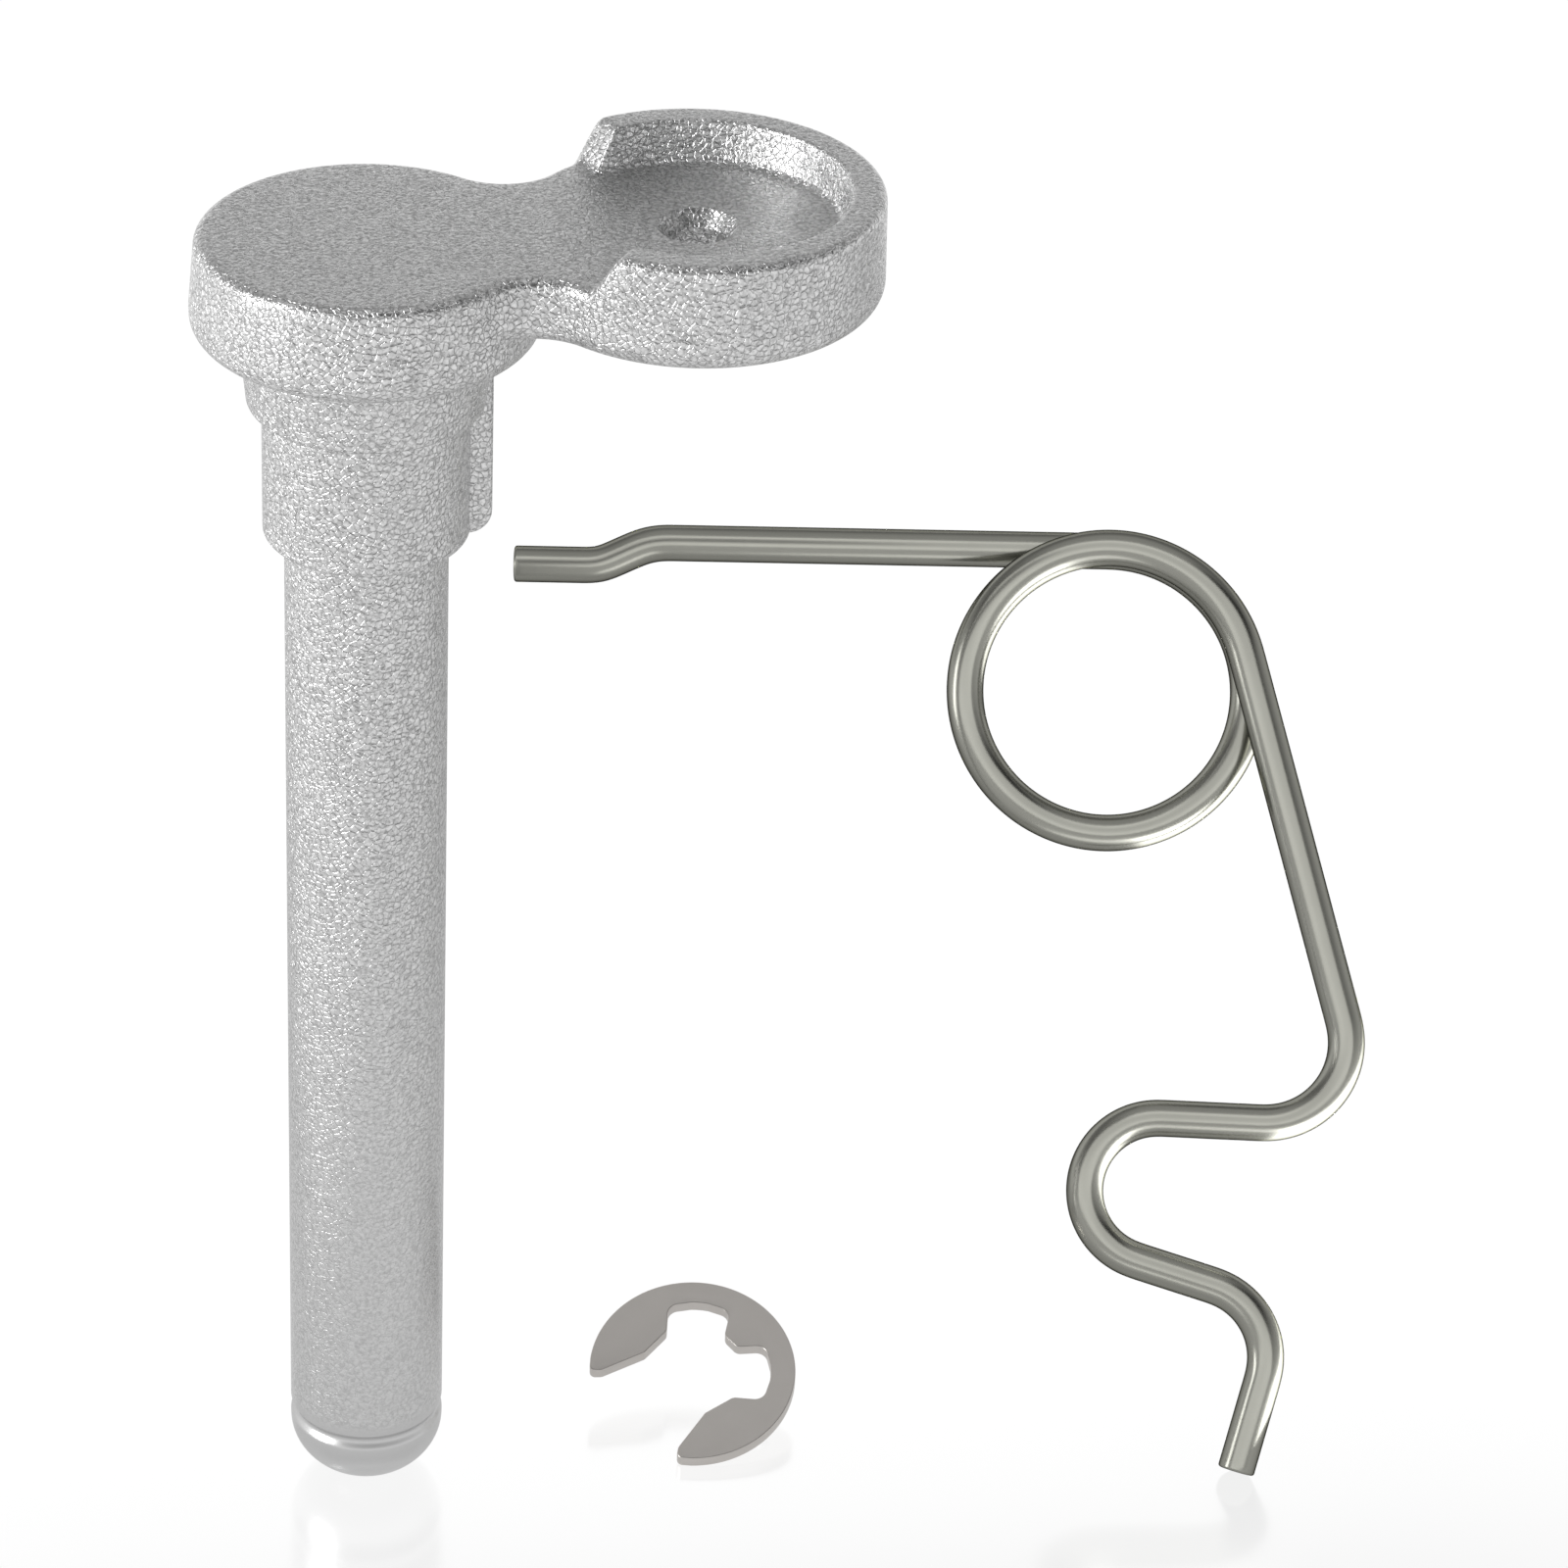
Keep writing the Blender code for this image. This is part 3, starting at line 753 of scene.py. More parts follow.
    def outline(self) -> tuple[Points, Points, Points, Points, Points]:
        """The outline round the head, waist and cup at the height of the top face.

        Each side of the waist is an arc tangent to the circles of the head and the cup.
        An arc's outward direction is its radius on the lobes and the opposite of it on the
        waists, whose centres lie outside.

        Returns:
            Points (N, 2), outward directions (N, 2), spine points (N, 2), the share m along
            each waist (N) with 0 on the head and 1 on the cup, and the angle round the cup (N),
            with pi elsewhere.
        """
        head = self.head_side(self.top)
        cup = self.cup_side(self.top)
        to_head = head + self.waist_fillet
        to_cup = cup + self.waist_fillet
        x = (self.arm_length**2 + to_head**2 - to_cup**2) / (2.0 * self.arm_length)
        y = sqrt(to_head**2 - x**2)
        at_head = acos(x / to_head)
        at_cup = acos((x - self.arm_length) / to_cup)
        head_turn = np.linspace(at_head, tau - at_head, self.head_steps)
        lower_turn = np.linspace(pi - at_head, pi - at_cup, self.waist_steps)
        cup_turn = np.linspace(-at_cup, at_cup, self.cup_steps)
        upper_turn = np.linspace(at_cup - pi, at_head - pi, self.waist_steps)
        crossing = np.linspace(0.0, 1.0, self.waist_steps)
        parts = [
            ((0.0, 0.0), head, head_turn, 1.0, np.zeros_like(head_turn), False),
            ((x, -y), self.waist_fillet, lower_turn, -1.0, crossing, False),
            ((self.arm_length, 0.0), cup, cup_turn, 1.0, np.ones_like(cup_turn), True),
            ((x, y), self.waist_fillet, upper_turn, -1.0, crossing[::-1], False),
        ]
        points, outward, spine, share, round_cup = [], [], [], [], []
        for centre, radius, turn, side, along, on_cup in parts:
            direction = np.stack([np.cos(turn), np.sin(turn)], axis=1)
            points.append(np.array(centre) + radius * direction)
            outward.append(side * direction)
            spine.append(np.stack([self.arm_length * along, np.zeros_like(along)], axis=1))
            share.append(along)
            round_cup.append(turn if on_cup else np.full_like(turn, pi))
        return tuple(np.concatenate(rows) for rows in (points, outward, spine, share, round_cup))

    def edge_section(self, bottom: float, side: Any, low_rounding: float, reference: float) -> Points:
        """An edge's section as (inset, height): underside, lower rounding, side, upper rounding.

        Args:
            bottom: The underside's height.
            side: Gives the radius at a height.
            low_rounding: The lower rounding.
            reference: The radius where the inset is 0.

        Returns:
            The section's points.
        """
        path = rounded_path([
            (self.section_reach, bottom, 0.0),
            (-(side(bottom) - reference), bottom, low_rounding),
            (-(side(self.top) - reference), self.top, self.arm_upper_rounding),
            (self.section_reach, self.top, 0.0),
        ], count=self.rounding_steps)
        return path[:-1]

    def wall_section(self) -> Points:
        """The cup wall's section as (inset, height), from the underside over the rim to the floor.

        Returns:
            The section's points.
        """
        reference = self.cup_side(self.top)
        bottom = self.top - self.cup_base_thickness
        rim = self.top + self.cup_wall_height
        return rounded_path([
            (self.section_reach, bottom, 0.0),
            (-(self.cup_side(bottom) - reference), bottom, self.cup_lower_rounding),
            (-(self.cup_side(rim) - reference), rim, self.cup_wall_rounding),
            (reference - self.cup_mouth_diameter / 2.0, rim, self.cup_mouth_rounding),
            (reference - self.cup_floor_diameter / 2.0, self.top, self.cup_floor_fillet),
            (self.floor_reach, self.top, 0.0),
        ], count=self.rounding_steps)

    def arm_surface(self) -> tuple[Points, Points]:
        """The surface of head edge, waist, arm and cup as one grid.

        A point is outline(u) - outward(u) inset(u, v) at height(u, v). The section between
        the plain edge P and the walled edge W is (1 - h) P + h W, where the wall's share h
        ramps up over the slant of each end. The inner ends run to the spine.

        Returns:
            Points and faces.
        """
        points, outward, spine, share, round_cup = self.outline()
        head_reference = self.head_side(self.top)
        cup_reference = self.cup_side(self.top)
        wall = self.wall_section()
        edge_count = 1 + 2 * self.rounding_steps
        flat = wall[edge_count:].copy()
        flat[:, 1] = self.top
        arm_bottom = self.top - self.arm_thickness
        cup_bottom = self.top - self.cup_base_thickness

        def plain(bottom: float, side: Any, low: float, reference: float) -> Points:
            """A plain edge's section with as many points as the walled one."""
            return np.concatenate([self.edge_section(bottom, side, low, reference), flat])

        head = plain(self.head_height, self.head_side, self.head_lower_rounding, head_reference)
        waist = plain(arm_bottom, self.head_side, self.arm_lower_rounding, head_reference)
        cup = plain(cup_bottom, self.cup_side, self.cup_lower_rounding, cup_reference)
        back = soft_ramp((self.wall_back_angle - round_cup) / self.wall_end_slant, self.wall_end_softness)
        front = soft_ramp((self.wall_front_angle + round_cup) / self.wall_end_slant, self.wall_end_softness)
        walled = (np.where(round_cup < pi, np.minimum(back, front), 0.0))[:, None, None]
        along = share[:, None, None]
        on_head = (np.arange(len(share)) < self.head_steps)[:, None, None]
        sections = (1.0 - along) * waist[None] + along * cup[None]
        sections = np.where(on_head, head[None], sections)
        sections = (1.0 - walled) * sections + walled * wall[None]
        inset = sections[..., 0]
        height = sections[..., 1]
        xy = points[:, None] - outward[:, None] * inset[..., None]
        surface = np.concatenate([xy, height[..., None]], axis=2)
        low_end = np.concatenate([spine, height[:, :1]], axis=1)[:, None]
        high_end = np.concatenate([spine, height[:, -1:]], axis=1)[:, None]
        surface = np.concatenate([low_end, surface, high_end], axis=1)
        rows, columns = surface.shape[:2]
        return surface.reshape(-1, 3), grid_faces(rows, columns, wrap_rows=True)

    def hole_profile(self) -> Points:
        """The tool that drills the cup's floor and eases both its mouths.

        Returns:
            Its radius and height, from above the floor to below the underside.
        """
        bore = self.hole_diameter / 2.0
        mouth = self.hole_mouth_diameter / 2.0
        bottom = self.top - self.cup_base_thickness
        wide = mouth + self.hole_flare
        lift = self.hole_lift
        return rounded_path([
            (0.0, self.top + self.overlap, 0.0),
            (wide, self.top + self.overlap, 0.0),
            (wide, self.top + lift, 0.0),
            (mouth, self.top - lift, self.hole_rounding),
            (bore, self.top - self.hole_mouth_depth, self.hole_rounding),
            (bore, bottom + self.hole_mouth_depth, self.hole_rounding),
            (mouth, bottom + lift, self.hole_rounding),
            (wide, bottom - lift, 0.0),
            (wide, bottom - self.overlap, 0.0),
            (0.0, bottom - self.overlap, 0.0),
        ])

    def rib_outline(self) -> Points:
        """The rib's side view, from inside the collar to inside the head.

        Returns:
            A closed outline of distance from the axis and height.
        """
        inside = self.shank_diameter / 2.0 - self.overlap
        foot = self.shank_length + 0.1 * MM
        high = self.head_height + self.overlap
        return rounded_path([
            (inside, foot, 0.0),
            (self.rib_reach, foot, self.rib_corner),
            (self.rib_reach, high, 0.0),
            (inside, high, 0.0),
        ], closed=True)

    def build(self) -> Piece:
        """Builds the whole casting as one closed piece.

        Returns:
            The piece.
        """
        body = turned("pin", self.turned_profile(), (0.0, 0.0), self.steps)
        points, faces = self.arm_surface()
        arm = make_piece("arm", points, faces, weld=WELD)
        upright = Matrix.Rotation(pi / 2.0, 4, "X")
        rib = plate("rib", self.rib_outline(), self.rib_thickness, self.rib_rounding, upright)
        hole = turned("hole", self.hole_profile(), (self.arm_length, 0.0), self.hole_steps)
        combine(body, arm, "UNION")
        combine(body, rib, "UNION")
        combine(body, hole, "DIFFERENCE")
        smooth(body, self.sharp_angle)
        body.data.materials.clear()
        body.data.materials.append(self.finish.build())
        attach(body, Body.PIN.value)
        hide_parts("pin_casting")
        return body


@dataclass
class TorsionSpring:
    """The spring: one wire through a short leg, a coil and a long leg with a snap bend."""

    wire: float = 4.76 * MM
    coil_diameter: float = 36.7 * MM
    pitch: float = 5.75 * MM
    sweep: float = radians(434.1)
    short_leg: float = 57.4 * MM
    joggle_angle: float = radians(25.0)
    joggle_inner: float = 10.0 * MM
    joggle_length: float = 3.8 * MM
    joggle_outer: float = 5.8 * MM
    short_end: float = 9.8 * MM
    long_leg: float = 49.0 * MM
    knee_radius: float = 10.3 * MM
    knee_angle: float = radians(107.3)
    snap_lead: float = 13.1 * MM
    snap_radius: float = 9.3 * MM
    snap_angle: float = radians(164.8)
    toe_lead: float = 10.6 * MM
    toe_radius: float = 9.5 * MM
    toe_angle: float = radians(88.6)
    toe_length: float = 12.4 * MM
    place: Pair = (99.54 * MM, 45.7 * MM)
    turn: float = radians(-11.3)
    lean: float = radians(33.3)
    roll: float = radians(2.3)
    end_rounding: float = 0.35 * MM
    bend_softness: float = 3.0 * MM
    pitch_softness: float = 14.0 * MM
    step: float = 0.5 * MM
    sides: int = 48
    coil_margin: float = 0.3
    sharp_angle: float = radians(40.0)
    finish: Finish = field(default_factory=SpringWire)

    def headings(self) -> tuple[Points, Points, Points]:
        """The wire's flat direction along its length.

        The direction turns at 1 / radius along each bend and not at all along a straight, so
        it is the running sum of the bends. Clockwise turns are negative.

        Returns:
            Length along the wire, heading, and the coil angle reached, at even steps.
        """
        coil_radius = self.coil_diameter / 2.0
        runs = [
            (self.short_end, 0.0),
            (self.joggle_outer * self.joggle_angle, self.joggle_angle),
            (self.joggle_length, 0.0),
            (self.joggle_inner * self.joggle_angle, -self.joggle_angle),
            (self.short_leg, 0.0),
            (coil_radius * self.sweep, -self.sweep),
            (self.long_leg, 0.0),
            (self.knee_radius * self.knee_angle, -self.knee_angle),
            (self.snap_lead, 0.0),
            (self.snap_radius * self.snap_angle, self.snap_angle),
            (self.toe_lead, 0.0),
            (self.toe_radius * self.toe_angle, -self.toe_angle),
            (self.toe_length, 0.0),
        ]
        lengths = np.array([length for length, _ in runs])
        turns = np.array([angle for _, angle in runs])
        marks = np.concatenate([[0.0], np.cumsum(lengths)])
        reached = np.concatenate([[0.0], np.cumsum(turns)])
        count = int(round(marks[-1] / self.step)) + 1
        along = np.linspace(0.0, marks[-1], count)
        heading = np.interp(along, marks, reached)
        coil = np.clip((along - marks[5]) / coil_radius, 0.0, self.sweep)
        return along, heading, coil

    def centreline(self) -> tuple[Points, Points, Points]:
        """The wire's centreline in the spring's own frame, with the coil's axis on Z.

        The heading is averaged over a short window, so that a bend eases into its straights,
        and then summed: dx = cos(heading) ds, dy = sin(heading) ds. The rise along the coil
        is averaged over a longer window. The coil's own middle is put at the origin.

        Returns:
            Points (N, 3), length along the wire (N), and the coil's share reached (N).
        """
        along, heading, coil = self.headings()
        spacing = along[1] - along[0]
        heading = self.averaged(heading, self.bend_softness / spacing)
        middle = (heading[1:] + heading[:-1]) / 2.0
        x = np.concatenate([[0.0], np.cumsum(np.cos(middle))]) * spacing
        y = np.concatenate([[0.0], np.cumsum(np.sin(middle))]) * spacing
        rise = self.pitch * (coil - self.sweep / 2.0) / tau
        z = self.averaged(rise, self.pitch_softness / spacing)
        on_coil = (coil > self.coil_margin) & (coil < self.sweep - self.coil_margin)
        turned_x = x - self.coil_diameter / 2.0 * np.sin(coil)
        turned_y = y - self.coil_diameter / 2.0 * np.cos(coil)
        x = x - turned_x[on_coil].mean()
        y = y - turned_y[on_coil].mean()
        return np.stack([x, y, z], axis=1), along, coil / self.sweep

    @staticmethod
    def averaged(values: Points, width: float) -> Points:
        """A running average with a raised-cosine window, the ends held.

        Args:
            values: What is averaged.
            width: The window's width in steps.

        Returns:
            As many values as were given.
        """
        half = max(1, int(round(width / 2.0)))
        window = np.hanning(2 * half + 3)[1:-1]
        window = window / window.sum()
        padded = np.concatenate([np.full(half, values[0]), values, np.full(half, values[-1])])
        return np.convolve(padded, window, mode="valid")

    def surface(self) -> tuple[Points, Points, Points, Points]:
        """The wire's surface: centre(s) + r(s) (side cos a + up sin a).

        side is the flat normal of the centreline, and up completes the frame. Near each end
        the radius closes as a quarter round and then runs flat to the middle.

        Returns:
            Points, faces, the map along and round the wire for each point, and the coil's
            share of each point.
        """
        centre, along, share = self.centreline()
        tangent = np.gradient(centre, axis=0)
        tangent = tangent / np.linalg.norm(tangent, axis=1, keepdims=True)
        side = np.cross(np.array([0.0, 0.0, 1.0]), tangent)
        side = side / np.linalg.norm(side, axis=1, keepdims=True)
        up = np.cross(tangent, side)
        radius = self.wire / 2.0
        ease_angle = np.linspace(0.0, pi / 2.0, 7)
        rounded = radius - self.end_rounding * (1.0 - np.sin(ease_angle))
        cap_radius = np.concatenate([[0.0, 0.5 * radius], rounded])
        cap_reach = np.concatenate([[0.0, 0.0], self.end_rounding * (1.0 - np.cos(ease_angle))])
        margin = self.end_rounding + self.step
        inner = (along > margin) & (along < along[-1] - margin)
        stations = np.concatenate([cap_reach, along[inner], along[-1] - cap_reach[::-1]])
        radii = np.concatenate([cap_radius, np.full(inner.sum(), radius), cap_radius[::-1]])

        def sampled(values: Points) -> Points:
            """Each column of an array read at the stations."""
            return np.stack([np.interp(stations, along, column) for column in values.T], axis=1)

        middle, side, up = sampled(centre), sampled(side), sampled(up)
        angle = np.linspace(0.0, tau, self.sides, endpoint=False)
        ring = side[:, None] * np.cos(angle)[None, :, None] + up[:, None] * np.sin(angle)[None, :, None]
        points = (middle[:, None] + radii[:, None, None] * ring).reshape(-1, 3)
        faces = grid_faces(len(stations), self.sides, wrap_columns=True)
        lengthwise = np.repeat(stations / along[-1], self.sides)
        around = np.tile(angle / tau, len(stations))
        reached = np.repeat(np.interp(stations, along, share), self.sides)
        return points, faces, np.stack([lengthwise, around], axis=1), reached

    def rotation(self) -> Matrix:
        """How the spring stands: its own Z is the coil's axis."""
        upright = Matrix.Rotation(pi / 2.0 - self.lean, 4, "X")
        return Matrix.Rotation(self.turn, 4, "Z") @ upright @ Matrix.Rotation(self.roll, 4, "Z")

    def build(self) -> Piece:
        """Builds the wire, standing where its two solids stand.

        Returns:
            The piece.
        """
        points, faces, flat_map, reached = self.surface()
        turned_points = points @ np.array(self.rotation().to_3x3()).T
        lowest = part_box("spring_long_leg")[0].z
        points = turned_points + np.array([*self.place, lowest - turned_points[:, 2].min()])
        piece = make_piece("spring", points, faces)
        self.lay_map(piece, flat_map)
        work = bmesh.new()
        work.from_mesh(piece.data)
        ends = [v for v in work.verts if v.index < self.sides or v.index >= len(points) - self.sides]
        bmesh.ops.remove_doubles(work, verts=ends, dist=1e-6)
        work.to_mesh(piece.data)
        work.free()
        smooth(piece, self.sharp_angle)
        piece.data.materials.append(self.finish.build())
        self.spread_flex(piece, points)
        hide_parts("spring_coil", "spring_long_leg")
        return piece

    def lay_map(self, piece: Piece, flat_map: Points) -> None:
        """Writes the map along and round the wire, unwrapped where a ring closes.

        Args:
            piece: The wire, whose faces are all quads.
            flat_map: (N, 2) map of each point.
        """
        layer = piece.data.uv_layers.new(name="wire")
        corner_vertex = np.zeros(len(piece.data.loops), np.int32)
        piece.data.loops.foreach_get("vertex_index", corner_vertex)
        values = flat_map[corner_vertex].reshape(-1, 4, 2)
        closing = values[..., 1].max(axis=1) - values[..., 1].min(axis=1) > 0.5
        low = values[..., 1] < 0.5
        values[..., 1] = np.where(closing[:, None] & low, values[..., 1] + 1.0, values[..., 1])
        layer.data.foreach_set("uv", values.astype(np.float32).ravel())

    def spread_flex(self, piece: Piece, points: Points) -> None:
        """Bakes the wire's placement into its points; the leg's turn is not shared along the coil.

        The points of each end's first ring are merged in the mesh, so one of each is kept. Which points stay
        is worked out here but not used.

        Args:
            piece: The wire.
            points: Its points before the merge.
        """
        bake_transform(piece)
        kept = np.ones(len(points), bool)
        kept[1:self.sides] = False
        kept[len(points) - self.sides + 1:] = False


@dataclass
class EClip:
    """The E-clip: three prongs pointing inwards and two jaws that flare open."""

    diameter: float = 26.6 * MM
    thickness: float = 1.9 * MM
    bore: float = 13.3 * MM
    recess: float = 20.2 * MM
    jaw_tip: float = 23.4 * MM
    middle_prong: float = radians(10.5)
    recess_start: float = radians(20.0)
    recess_end: float = radians(67.0)
    side_prong: float = radians(79.0)
    jaw: float = radians(117.0)
    tip: float = radians(140.0)
    tip_rounding: float = 1.2 * MM
    jaw_rounding: float = 0.7 * MM
    corner_rounding: float = 1.1 * MM
    recess_rounding: float = 1.5 * MM
    recess_set_back: float = radians(17.0)
    rim_set_back: float = radians(8.0)
    edge_rounding: float = 0.18 * MM
    rim_steps: int = 80
    recess_steps: int = 24
    sharp_angle: float = radians(30.0)
    place: Pair = (42.6 * MM, 6.3 * MM)
    turn: float = radians(-9.4)
    tilt: float = radians(21.5)
    heading: float = radians(43.5)
    finish: Finish = field(default_factory=ClipSteel)

    def outline(self) -> Points:
        """Half the outline from arcs and rounded corners, then its mirror image.

        Returns:
            (N, 2) points running anticlockwise.
        """
        outer, bore = self.diameter / 2.0, self.bore / 2.0
        recess, jaw_tip = self.recess / 2.0, self.jaw_tip / 2.0
        rim = arc((0.0, 0.0), outer, 0.0, self.tip - self.rim_set_back, self.rim_steps)
        first, last = self.recess_end - self.recess_set_back, self.recess_start + self.recess_set_back
        hollow = arc((0.0, 0.0), recess, first, last, self.recess_steps)

        def polar(radius: float, angle: float, rounding: float) -> Triple:
            """A corner at a radius and angle."""
            return (radius * cos(angle), radius * sin(angle), rounding)

        half = [(x, y, 0.0) for x, y in rim.tolist()]
        half += [
            polar(outer, self.tip, self.tip_rounding),
            polar(jaw_tip, self.tip, self.tip_rounding),
            polar(bore, self.jaw, self.jaw_rounding),
            polar(bore, self.side_prong, self.corner_rounding),
            polar(recess, self.recess_end, self.recess_rounding),
        ]
        half += [(x, y, 0.0) for x, y in hollow.tolist()]
        half += [
            polar(recess, self.recess_start, self.recess_rounding),
            polar(bore, self.middle_prong, self.corner_rounding),
        ]
        mirrored = [(x, -y, rounding) for x, y, rounding in reversed(half[1:])]
        return rounded_path(half + mirrored, count=10, closed=True)

    def build(self) -> Piece:
        """Builds the clip, its front edge on the floor.

        Returns:
            The piece.
        """
        rotation = (
            Matrix.Rotation(self.turn, 4, "Z")
            @ Matrix.Rotation(self.tilt, 4, "X")
            @ Matrix.Rotation(self.heading, 4, "Z")
        )
        outline = self.outline()
        down = np.array(rotation.to_3x3())[2]
        flat = np.concatenate([outline, np.zeros((len(outline), 1))], axis=1)
        lowest = (flat @ down).min() - self.thickness / 2.0 * abs(down[2])
        place = Matrix.Translation((*self.place, -lowest)) @ rotation
        piece = plate("clip", outline, self.thickness, self.edge_rounding, place)
        smooth(piece, self.sharp_angle)
        piece.data.materials.append(self.finish.build())
        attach(piece, Body.CLIP.value)
        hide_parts("e_clip")
        return piece


# ---- the studio


class Lit(Enum):
    """Which pieces a light reaches."""

    SATIN = ("pin", "clip")
    WIRE = ("spring",)


@dataclass(frozen=True)
class SoftLight:
    """A soft rectangular light: where it stands and faces, its size, its watts and what it lights."""

    name: str
    place: Triple
    target: Triple
    size: Pair
    power: float
    lit: Lit


MIDDLE = (0.04, 0.0, 0.09)
LIGHTS = (
    SoftLight("key_light", (-0.90, -0.30, 0.45), MIDDLE, (0.4, 0.8), 8.5, Lit.SATIN),
    SoftLight("wire_front_light", (-0.17, -0.92, 1.13), MIDDLE, (2.6, 1.7), 16.5, Lit.WIRE),
    SoftLight("wire_left_light", (-1.10, -0.10, 0.25), MIDDLE, (0.3, 0.6), 2.4, Lit.WIRE),
    SoftLight("wire_low_light", (0.23, -0.03, 0.005), (0.23, -0.03, 1.005), (0.22, 0.3), 0.9, Lit.WIRE),
    SoftLight("wire_near_light", (0.11, -0.15, 0.005), (0.11, -0.15, 1.005), (0.16, 0.18), 0.10, Lit.WIRE),
)
SKY = (
    (0.0, 0.95), (0.12, 0.8), (0.34, 0.58), (0.52, 0.35), (0.66, 0.24), (0.80, 0.36), (0.93, 0.6), (1.0, 0.6),
)


@dataclass
class Studio:
    """A pale floor, a white card behind, a grey sky, soft lights, and the camera."""

    position: Triple = (-48.395 * MM, -595.629 * MM, 465.388 * MM)
    heading: float = radians(-9.4)
    pitch: float = radians(31.302)
    roll: float = radians(2.474)
    lens: float = 135.0
    sensor: float = 36.0
    floor_size: float = 12.0
    floor_level: float = -0.02 * MM
    floor_seen: float = 1.02
    floor_gloss: float = 0.18
    floor_roughness: float = 0.16
    gloss_centre: Triple = (0.05, 0.0, 0.0)
    gloss_reach: Pair = (0.08, 0.17)
    glow_front: float = 0.82
    glow_behind: float = 0.50
    glow_left: float = 0.50
    front_fade: Pair = (-0.05, 0.13)
    left_fade: Pair = (-0.30, 0.05)
    card_ends: Pair = (-0.7, 0.8)
    card_back: float = 0.30
    card_height: float = 0.27
    patch_strength: float = 0.95
    patch_depth: Pair = (-0.10, 0.16)
    patch_foot: Pair = (0.50, 0.66)
    patch_head: Pair = (0.86, 0.94)

    def sheet(self, name: str, corners: Sequence[Sequence[float]]) -> tuple[Piece, ShaderWriter]:
        """Lays one flat sheet that is part of the stage, with an empty material.

        Args:
            name: The object's name.
            corners: Its four corners.

        Returns:
            The object and its material's writer.
        """
        piece = make_piece(name, np.array(corners), [[0, 1, 2, 3]])
        material = bpy.data.materials.new(name + "_white")
        material.use_nodes = True
        nodes = material.node_tree.nodes
        nodes.remove(nodes["Principled BSDF"])
        piece.data.materials.append(material)
        return piece, ShaderWriter(material.node_tree)

    def build_floor(self) -> None:
        """Lays a wide pale floor just under the object, with a faint sheen round its feet."""
        half = self.floor_size / 2.0
        signs = ((-1.0, -1.0), (1.0, -1.0), (1.0, 1.0), (-1.0, 1.0))
        _, writer = self.sheet("floor", [(x * half, y * half, self.floor_level) for x, y in signs])
        seen = writer.node("ShaderNodeLightPath", {}, {}, "Is Camera Ray")
        level = seen * self.floor_seen + (1.0 - seen) * self.floor_glow(writer)
        white = writer.node("ShaderNodeEmission", {}, {"Color": level, "Strength": 1.0})
        polish = {"Color": (1.0, 1.0, 1.0, 1.0), "Roughness": self.floor_roughness}
        gloss = writer.node("ShaderNodeBsdfGlossy", {}, polish)
        ends = {0: writer.place(), 1: self.gloss_centre}
        away = writer.node("ShaderNodeVectorMath", {"operation": "DISTANCE"}, ends, "Value")
        share = writer.between(away, *self.gloss_reach, self.floor_gloss, 0.0)
        sheen = writer.node("ShaderNodeMixShader", {}, {0: share, 1: white, 2: gloss})
        writer.set_input(writer.tree.nodes["Material Output"], "Surface", sheen)

    def floor_glow(self, writer: ShaderWriter) -> Socket:
        """How bright the floor is in reflections: most in front and at the left.

        Args:
            writer: The floor material's writer.

        Returns:
            The brightness.
        """
        place = writer.place()
        left_right = writer.node("ShaderNodeSeparateXYZ", {}, {0: place}, "X")
        front_back = writer.node("ShaderNodeSeparateXYZ", {}, {0: place}, "Y")
        front = writer.between(front_back, *self.front_fade, 1.0, 0.0)
        left = writer.between(left_right, *self.left_fade, 1.0, 0.0)
        behind = self.glow_behind + left * self.glow_left
        return behind + front * (self.glow_front - behind)

    def build_card(self) -> None:
        """Stands a low white card behind the object, unseen by the camera, for the floor to reflect."""
        (left, right), back, high = self.card_ends, self.card_back, self.card_height
        corners = [(left, back, 0.0), (right, back, 0.0), (right, back, high), (left, back, high)]
        card, writer = self.sheet("card", corners)
        glow = writer.node("ShaderNodeEmission", {}, {"Color": (1.0, 1.0, 1.0, 1.0), "Strength": 1.0})
        writer.set_input(writer.tree.nodes["Material Output"], "Surface", glow)
        card.visible_camera = False

    def build_world(self) -> None:
        """Surrounds the object with a sky that darkens upwards, most of all high in front."""
        world = bpy.data.worlds.new("studio")
        bpy.context.scene.world = world
        world.use_nodes = True
        writer = ShaderWriter(world.node_tree)
        direction = writer.node("ShaderNodeTexCoord", {}, {}, "Generated")
        height = writer.node("ShaderNodeSeparateXYZ", {}, {0: direction}, "Z")
        depth = writer.node("ShaderNodeSeparateXYZ", {}, {0: direction}, "Y")
        sky = writer.node("ShaderNodeValToRGB", {"stops": SKY}, {"Fac": height}, "Color")
        in_front = writer.between(depth, *self.patch_depth, 1.0, 0.0)
        above = writer.between(height, *self.patch_foot)
        patch = in_front * above * writer.between(height, *self.patch_head, 1.0, 0.0)
        background = world.node_tree.nodes["Background"]
        writer.set_input(background, "Color", sky)
        writer.set_input(background, "Strength", 1.0 - patch * self.patch_strength)

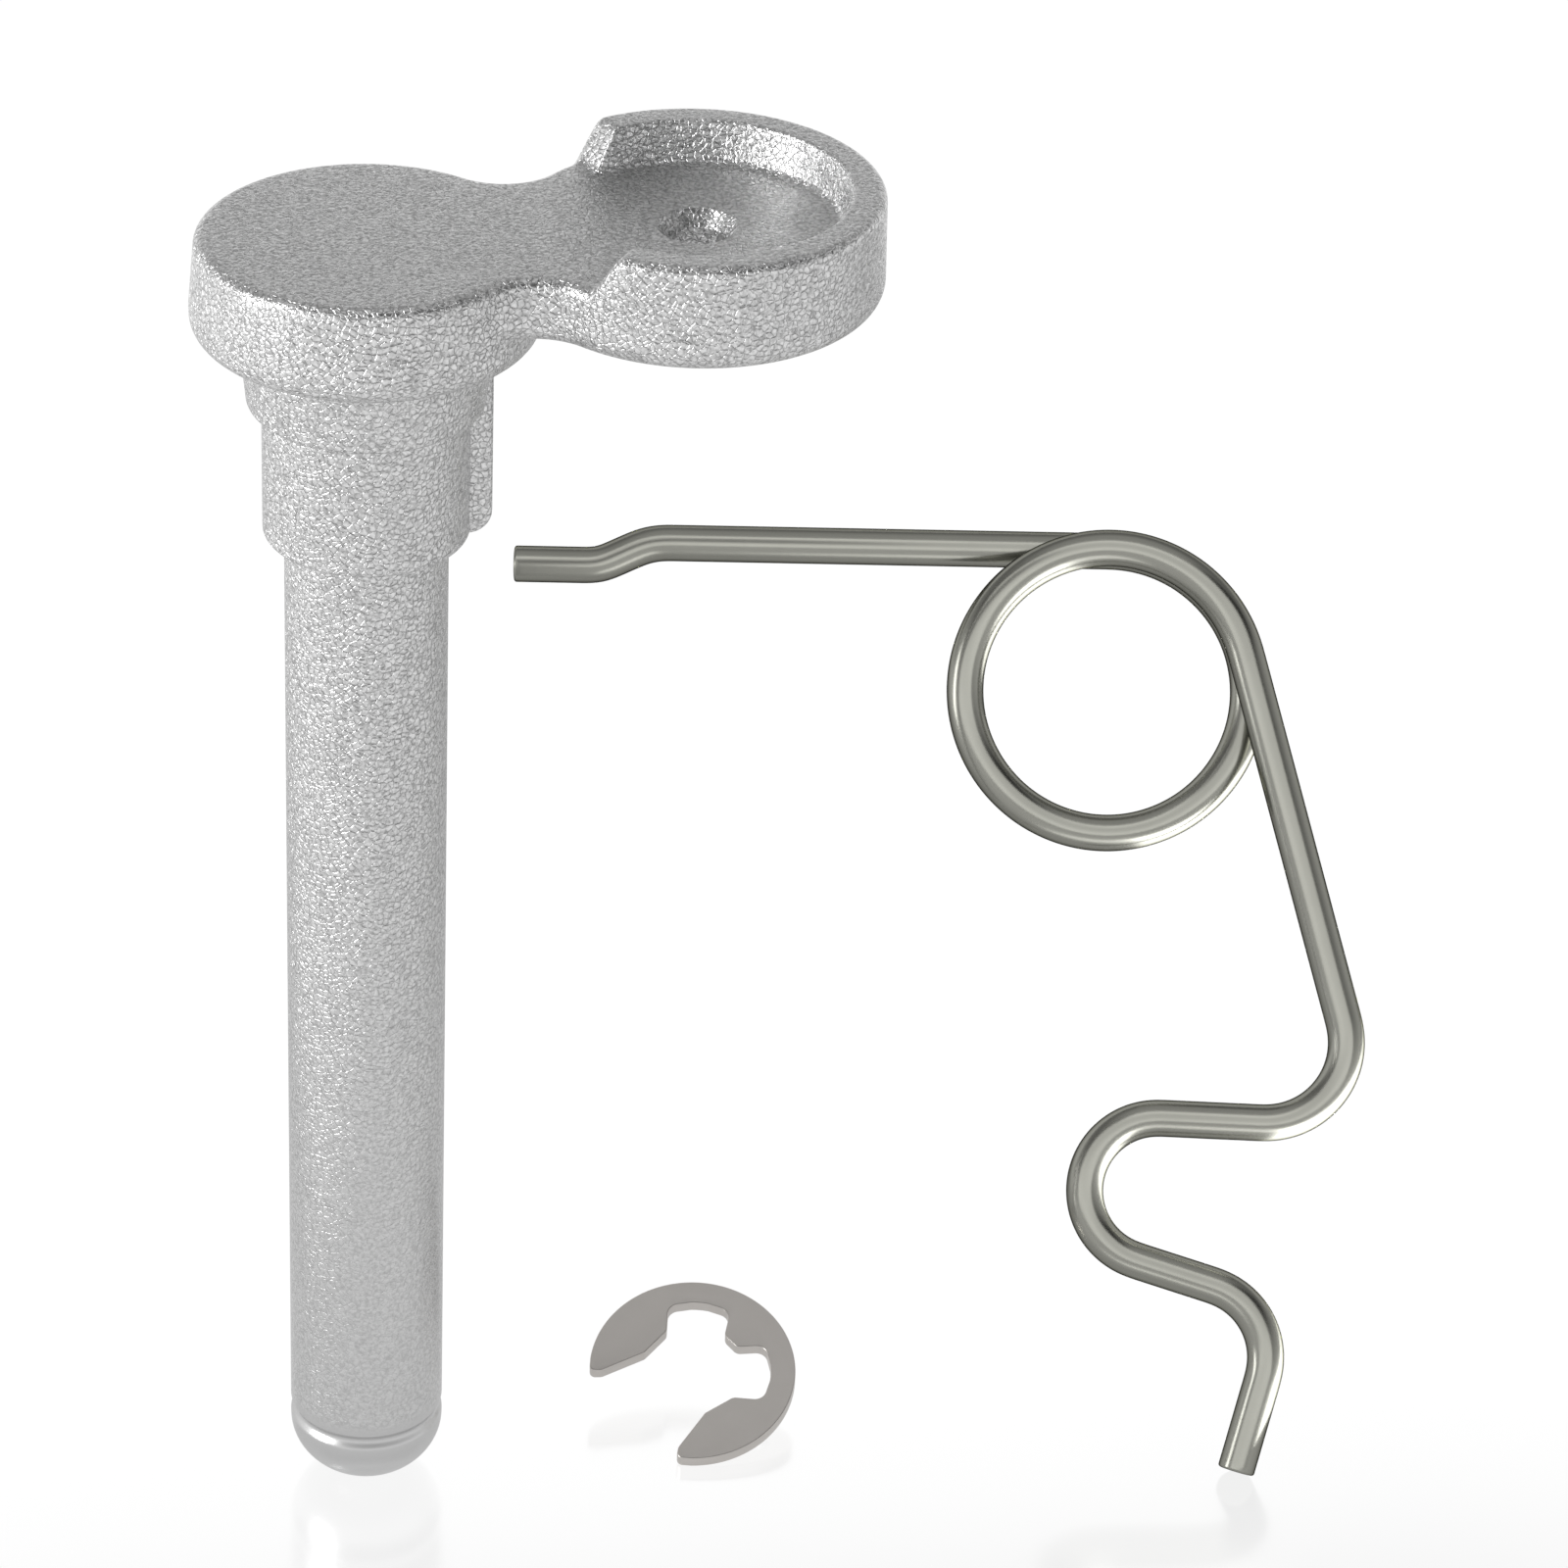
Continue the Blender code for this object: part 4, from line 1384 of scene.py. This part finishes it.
    def build_light(self, light: SoftLight, pieces: Sequence[Piece]) -> None:
        """Adds one light, linked to the pieces that it lights.

        Args:
            light: The light.
            pieces: All the pieces.
        """
        data = bpy.data.lights.new(light.name, "AREA")
        data.shape = "RECTANGLE"
        data.size, data.size_y = light.size
        data.energy = light.power
        lamp = bpy.data.objects.new(light.name, data)
        lamp.location = light.place
        facing = Vector(light.target) - Vector(light.place)
        lamp.rotation_euler = facing.to_track_quat("-Z", "Y").to_euler()
        bpy.context.scene.collection.objects.link(lamp)
        receivers = bpy.data.collections.new(light.name + "_receivers")
        for piece in pieces:
            if piece.name in light.lit.value:
                receivers.objects.link(piece)
        lamp.light_linking.receiver_collection = receivers

    def build_camera(self) -> None:
        """Sets the camera that the scene is seen with."""
        data = bpy.data.cameras.new("camera")
        data.lens = self.lens
        data.sensor_width = self.sensor
        data.clip_start = 0.01
        data.clip_end = 50.0
        camera = bpy.data.objects.new("camera", data)
        aim = (
            Matrix.Rotation(self.heading, 4, "Z")
            @ Matrix.Rotation(pi / 2.0 - self.pitch, 4, "X")
            @ Matrix.Rotation(self.roll, 4, "Z")
        )
        camera.matrix_world = Matrix.Translation(self.position) @ aim
        bpy.context.scene.collection.objects.link(camera)
        bpy.context.scene.camera = camera

    def build(self, pieces: Sequence[Piece]) -> None:
        """Builds the floor, card, sky, lights and camera round the pieces.

        Args:
            pieces: The pieces that the lights reach.
        """
        self.build_floor()
        self.build_card()
        self.build_world()
        for light in LIGHTS:
            self.build_light(light, pieces)
        self.build_camera()
        bpy.context.scene.view_settings.view_transform = "Standard"


def main() -> None:
    """Builds the studio and the three pieces."""
    logging.basicConfig(level=logging.INFO, format="%(name)s: %(message)s")
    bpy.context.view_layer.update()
    pieces = [maker.build() for maker in (PinCasting(), TorsionSpring(), EClip())]
    Studio().build(pieces)
    for piece in pieces:
        triangles = sum(len(face.vertices) - 2 for face in piece.data.polygons)
        LOG.info("%s: %d triangles", piece.name, triangles)


if __name__ == "__main__":
    main()
